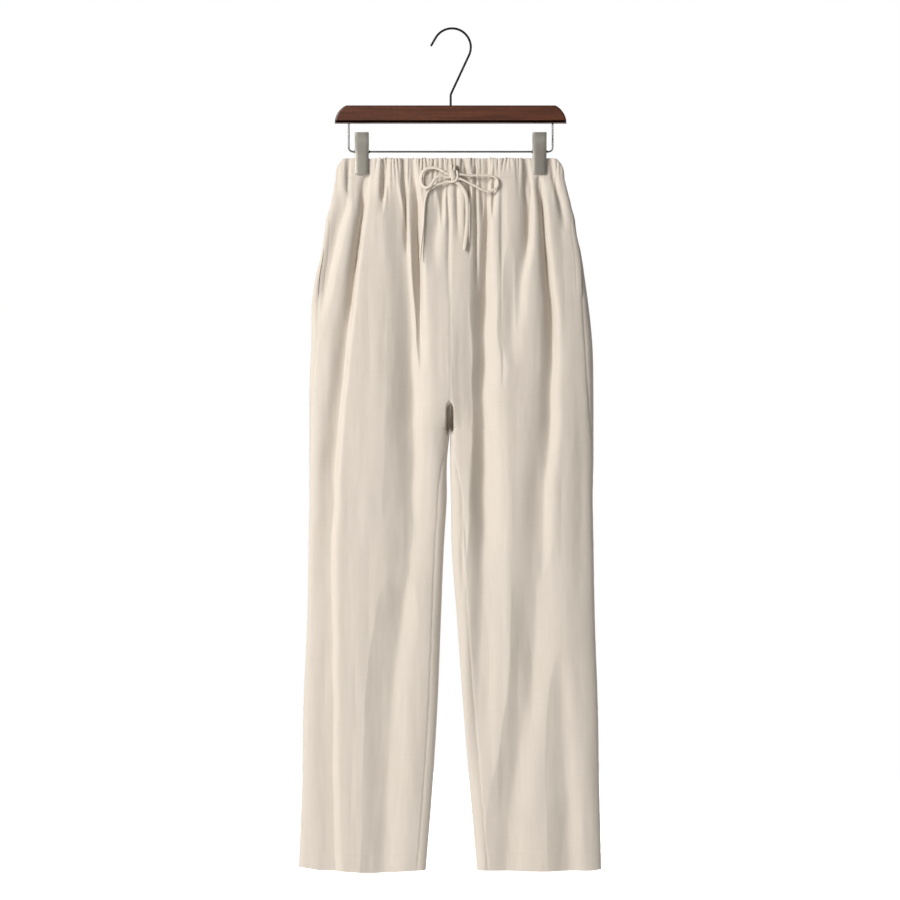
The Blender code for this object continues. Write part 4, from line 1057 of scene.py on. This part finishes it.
# side view of a clip lever: height and the distance of its inner face from the middle plane
clipProfile = [(-145.5, 9.4), (-149.5, 8.9), (-160, 6.6), (-172.1, 4.8), (-182, 4.5), (-204.6, 4.4)]


def fillet(before, corner, after, radius, steps=10):
    before, corner, after = (np.array(p, float) for p in (before, corner, after))
    a = (before - corner) / np.linalg.norm(before - corner)
    b = (after - corner) / np.linalg.norm(after - corner)
    half = np.arccos(np.clip(a @ b, -1, 1)) / 2
    centre = corner + (a + b) / np.linalg.norm(a + b) * radius / np.sin(half)
    start = corner + a * radius / np.tan(half) - centre
    end = corner + b * radius / np.tan(half) - centre
    sweepAngle = pi - 2 * half
    return [
        centre + (start * np.sin(sweepAngle * (1 - t)) + end * np.sin(sweepAngle * t)) / np.sin(sweepAngle)
        for t in np.linspace(0, 1, steps)
    ]


def wirePiece(name, path, radius, material, node, roundTip=False):
    path = np.array(path, float)
    steps = np.concatenate([[0], np.cumsum(np.linalg.norm(np.diff(path, axis=0), axis=1))])
    length, sides = steps[-1], hanger["wireSides"]
    even = np.linspace(0, length, int(length / hanger["wireStep"]))
    path = np.stack([np.interp(even, steps, path[:, k]) for k in range(3)], axis=1)

    def section(share, along):
        toEnd = np.clip((length - along) / radius, 0, 1)
        r = radius * (np.sqrt(1 - (1 - toEnd) ** 2) if roundTip else 1)
        r = max(r, radius * 0.12)
        return [(r * cos(2 * pi * k / sides), r * sin(2 * pi * k / sides)) for k in range(sides)]

    points, faces, _ = sweep(path, section, up=(0, 1, 0))
    standFor(finishMesh(name, points * mm, faces, material), node)


def makeHook():
    bend, lean, tipAngle = hanger["hookBend"], radians(hanger["hookLean"]), radians(hanger["hookTipAngle"])
    centreZ, shankX = hanger["hookRadius"] - bend, trousers["centreX"]
    run = (bend * cos(lean) - shankX) / sin(lean)
    kink = (shankX, centreZ - bend * sin(lean) - run * cos(lean))
    foot = (shankX, hanger["barTop"] - hanger["hookDepth"])
    roundStart = (bend * cos(lean), centreZ - bend * sin(lean))
    path = [foot] + fillet(foot, kink, roundStart, 9)
    path += [(bend * cos(a), centreZ + bend * sin(a)) for a in np.linspace(-lean, tipAngle, 60)]
    end = path[-1]
    path.append((end[0] - hanger["hookTip"] * sin(tipAngle), end[1] + hanger["hookTip"] * cos(tipAngle)))
    path = [(x, 0, z) for x, z in path]
    wirePiece("hook_wire", path, hanger["hookRadius"], hookSteel, "hanger_hook", roundTip=True)


def makeRod():
    top = hanger["barTop"] - hanger["barHeight"] + hanger["rodDepth"]
    span, z, x0 = hanger["rodHalfSpan"], hanger["rodZ"], trousers["centreX"]
    corners = [(-span, top), (-span, z), (span, z), (span, top)]
    path = [corners[0]]
    for before, corner, after in zip(corners, corners[1:], corners[2:]):
        path += fillet(before, corner, after, hanger["rodCorner"])
    path.append(corners[-1])
    path = [(x + x0, 0, z) for x, z in path]
    wirePiece("rod_wire", path, hanger["rodRadius"], rodSteel, "hanger_rod")


def makeBar():
    # a straight rail with quarter-round ends and eased edges; its edge lines hold more stain
    top, tall = hanger["barTop"], hanger["barHeight"]
    bottom, radius = top - tall, hanger["barEndRadius"]
    reach = np.arcsin(tall / radius)
    end = hanger["barLength"] / 2 - radius
    arc = [(end + radius * cos(a), bottom + radius * sin(a)) for a in np.linspace(0, reach, 26)]
    topLine = [(x, top) for x in np.linspace(arc[-1][0], -arc[-1][0], 60)[1:-1]]
    bottomLine = [(x, bottom) for x in np.linspace(-arc[0][0], arc[0][0], 60)[1:-1]]
    outline = np.array(arc + topLine + [(-x, z) for x, z in reversed(arc)] + bottomLine)
    count = len(outline)
    tangent = np.roll(outline, -1, axis=0) - np.roll(outline, 1, axis=0)
    inwards = np.stack([-tangent[:, 1], tangent[:, 0]], axis=1)
    inwards /= np.linalg.norm(inwards, axis=1, keepdims=True)
    half, edge = hanger["barThickness"] / 2, hanger["barEdge"]
    # rings from the back face's edge round to the front's: how far each lies in, and how far forward
    arcSteps = np.linspace(0, pi / 2, 7)
    rings = [(edge * (1 - sin(a)), -(half - edge) - edge * cos(a)) for a in arcSteps]
    rings += [(0.0, y) for y in np.linspace(-(half - edge), half - edge, 6)[1:-1]]
    rings += [(edge * (1 - cos(a)), half - edge + edge * sin(a)) for a in arcSteps]
    cap = edge + hanger["barCap"]
    rings = [(cap, rings[0][1])] + rings + [(cap, rings[-1][1])]
    points, stain = [], []
    for inset, y in rings:
        ring = outline + inwards * inset
        points.append(np.stack([ring[:, 0] + trousers["centreX"], np.full(count, y), ring[:, 1]], axis=1))
        darker = hanger["edgeStain"] * np.exp(-((inset - edge * 0.35) / (edge * 0.8)) ** 2)
        stain.append(np.full(count, darker))
    faces = gridFaces(len(rings), count, ring=True).tolist()
    last = (len(rings) - 1) * count
    # one face closes the back, another the front
    faces += [list(range(count)), [last + k for k in reversed(range(count))]]
    piece = finishMesh("hanger_bar_wood", np.concatenate(points) * mm, faces, stainedWood, sharp=40)
    layer = piece.data.attributes.new("edge", "FLOAT", "POINT")
    layer.data.foreach_set("value", np.concatenate(stain).astype(np.float32))
    standFor(piece, "hanger_bar")


def makeClipLever(side, face):
    # a strip of sheet with its long edges turned in, most at the rod, and rounded lower corners
    word = sideWord(side)
    x0 = trousers["centreX"] + side * trousers["clipSpacing"] / 2
    corner, sheet = hanger["clipCorner"], hanger["clipSheet"]
    low = [hanger["clipBottom"] + corner * (1 - sin(a)) for a in np.linspace(0, pi / 2, 9)]
    top = hanger["clipTop"]
    heights = np.concatenate([np.linspace(top, top - 2.2, 5), np.linspace(top - 3.7, low[0] + 2, 34), low])
    inner = readCurve(*zip(*clipProfile), heights)
    intoCorner = np.clip((hanger["clipBottom"] + corner - heights) / corner, 0, 1)
    half = hanger["clipWidth"] / 2 - corner * (1 - np.sqrt(np.clip(1 - intoCorner ** 2, 0, 1))) * 0.92
    nearRod = smoothStep((hanger["earReach"] - np.abs(heights - hanger["rodZ"])) / 5)
    lip = hanger["clipLip"] + hanger["clipEar"] * nearRod
    soft, crown = hanger["clipEase"], hanger["clipCrown"]
    rows = []
    for z, w, y, deep in zip(heights, half, inner, lip):
        # half the section, from the edge of the crowned outer face round the turned-in edge; then its mirror
        out, rim = y + sheet, y - deep
        edge = [(w - soft, out), (w - soft * 0.3, out - soft * 0.3), (w, out - soft), (w, rim)]
        edge += [(w - sheet, rim), (w - sheet, y)]
        mirror = [(-across, away) for across, away in reversed(edge)]
        crowned = [(-w * 0.5, out + crown * 0.75), (0, out + crown), (w * 0.5, out + crown * 0.75)]
        ring = mirror[-1:] + crowned + edge + [(0, y)] + mirror[:-1]
        rows.append([(x0 + across, face * (away - crown), z) for across, away in ring])
    points = np.array(rows)
    count = points.shape[1]
    faces = gridFaces(len(heights), count, ring=True).tolist()
    # both ends are closed by the same few faces, numbered round the ring
    closing = [(0, 1, 11, 14, 15), (11, 12, 13, 14), (1, 2, 10, 11)]
    closing += [(2, 3, 9, 10), (3, 4, 5, 6, 9), (6, 7, 8, 9)]
    for start in (0, (len(heights) - 1) * count):
        faces += [[start + k for k in corners] for corners in closing]
    name = "clip_" + ("front_" if face == -1 else "back_") + word
    piece = finishMesh("lever_" + name, points.reshape(-1, 3) * mm, faces, clipSteel, sharp=55)
    standFor(piece, name)


def makeBush(side):
    word = sideWord(side)
    x0 = trousers["centreX"] + side * trousers["clipSpacing"] / 2
    bore, half, radius = hanger["rodRadius"] + 0.1, hanger["bushHalf"], hanger["bushRadius"]
    # the sleeve's ends are eased and a little thinner than its middle
    profile = [(-half, bore), (-half, radius - 0.5), (-half + 0.25, radius - 0.35)]
    profile += [(-half + 2.4, radius - 0.05), (-half + 2.8, radius)]
    profile += [(-along, r) for along, r in reversed(profile)]
    sides = hanger["bushSides"]
    points = [
        (x0 + along, r * cos(a), hanger["rodZ"] + r * sin(a))
        for a in np.linspace(0, 2 * pi, sides, endpoint=False) for along, r in profile
    ]
    count = len(profile)
    faces = []
    for k in range(sides):
        for i in range(count):
            j, a, b = (i + 1) % count, k * count, (k + 1) % sides * count
            faces.append((a + i, a + j, b + j, b + i))
    piece = finishMesh("sleeve_clip_bush_" + word, np.array(points) * mm, faces, bushRubber, sharp=40)
    standFor(piece, "clip_bush_" + word)


makeBar()
makeHook()
makeRod()
for side in (right, left):
    makeBush(side)
    for face in (-1, 1):
        makeClipLever(side, face)
print("hanger ready")
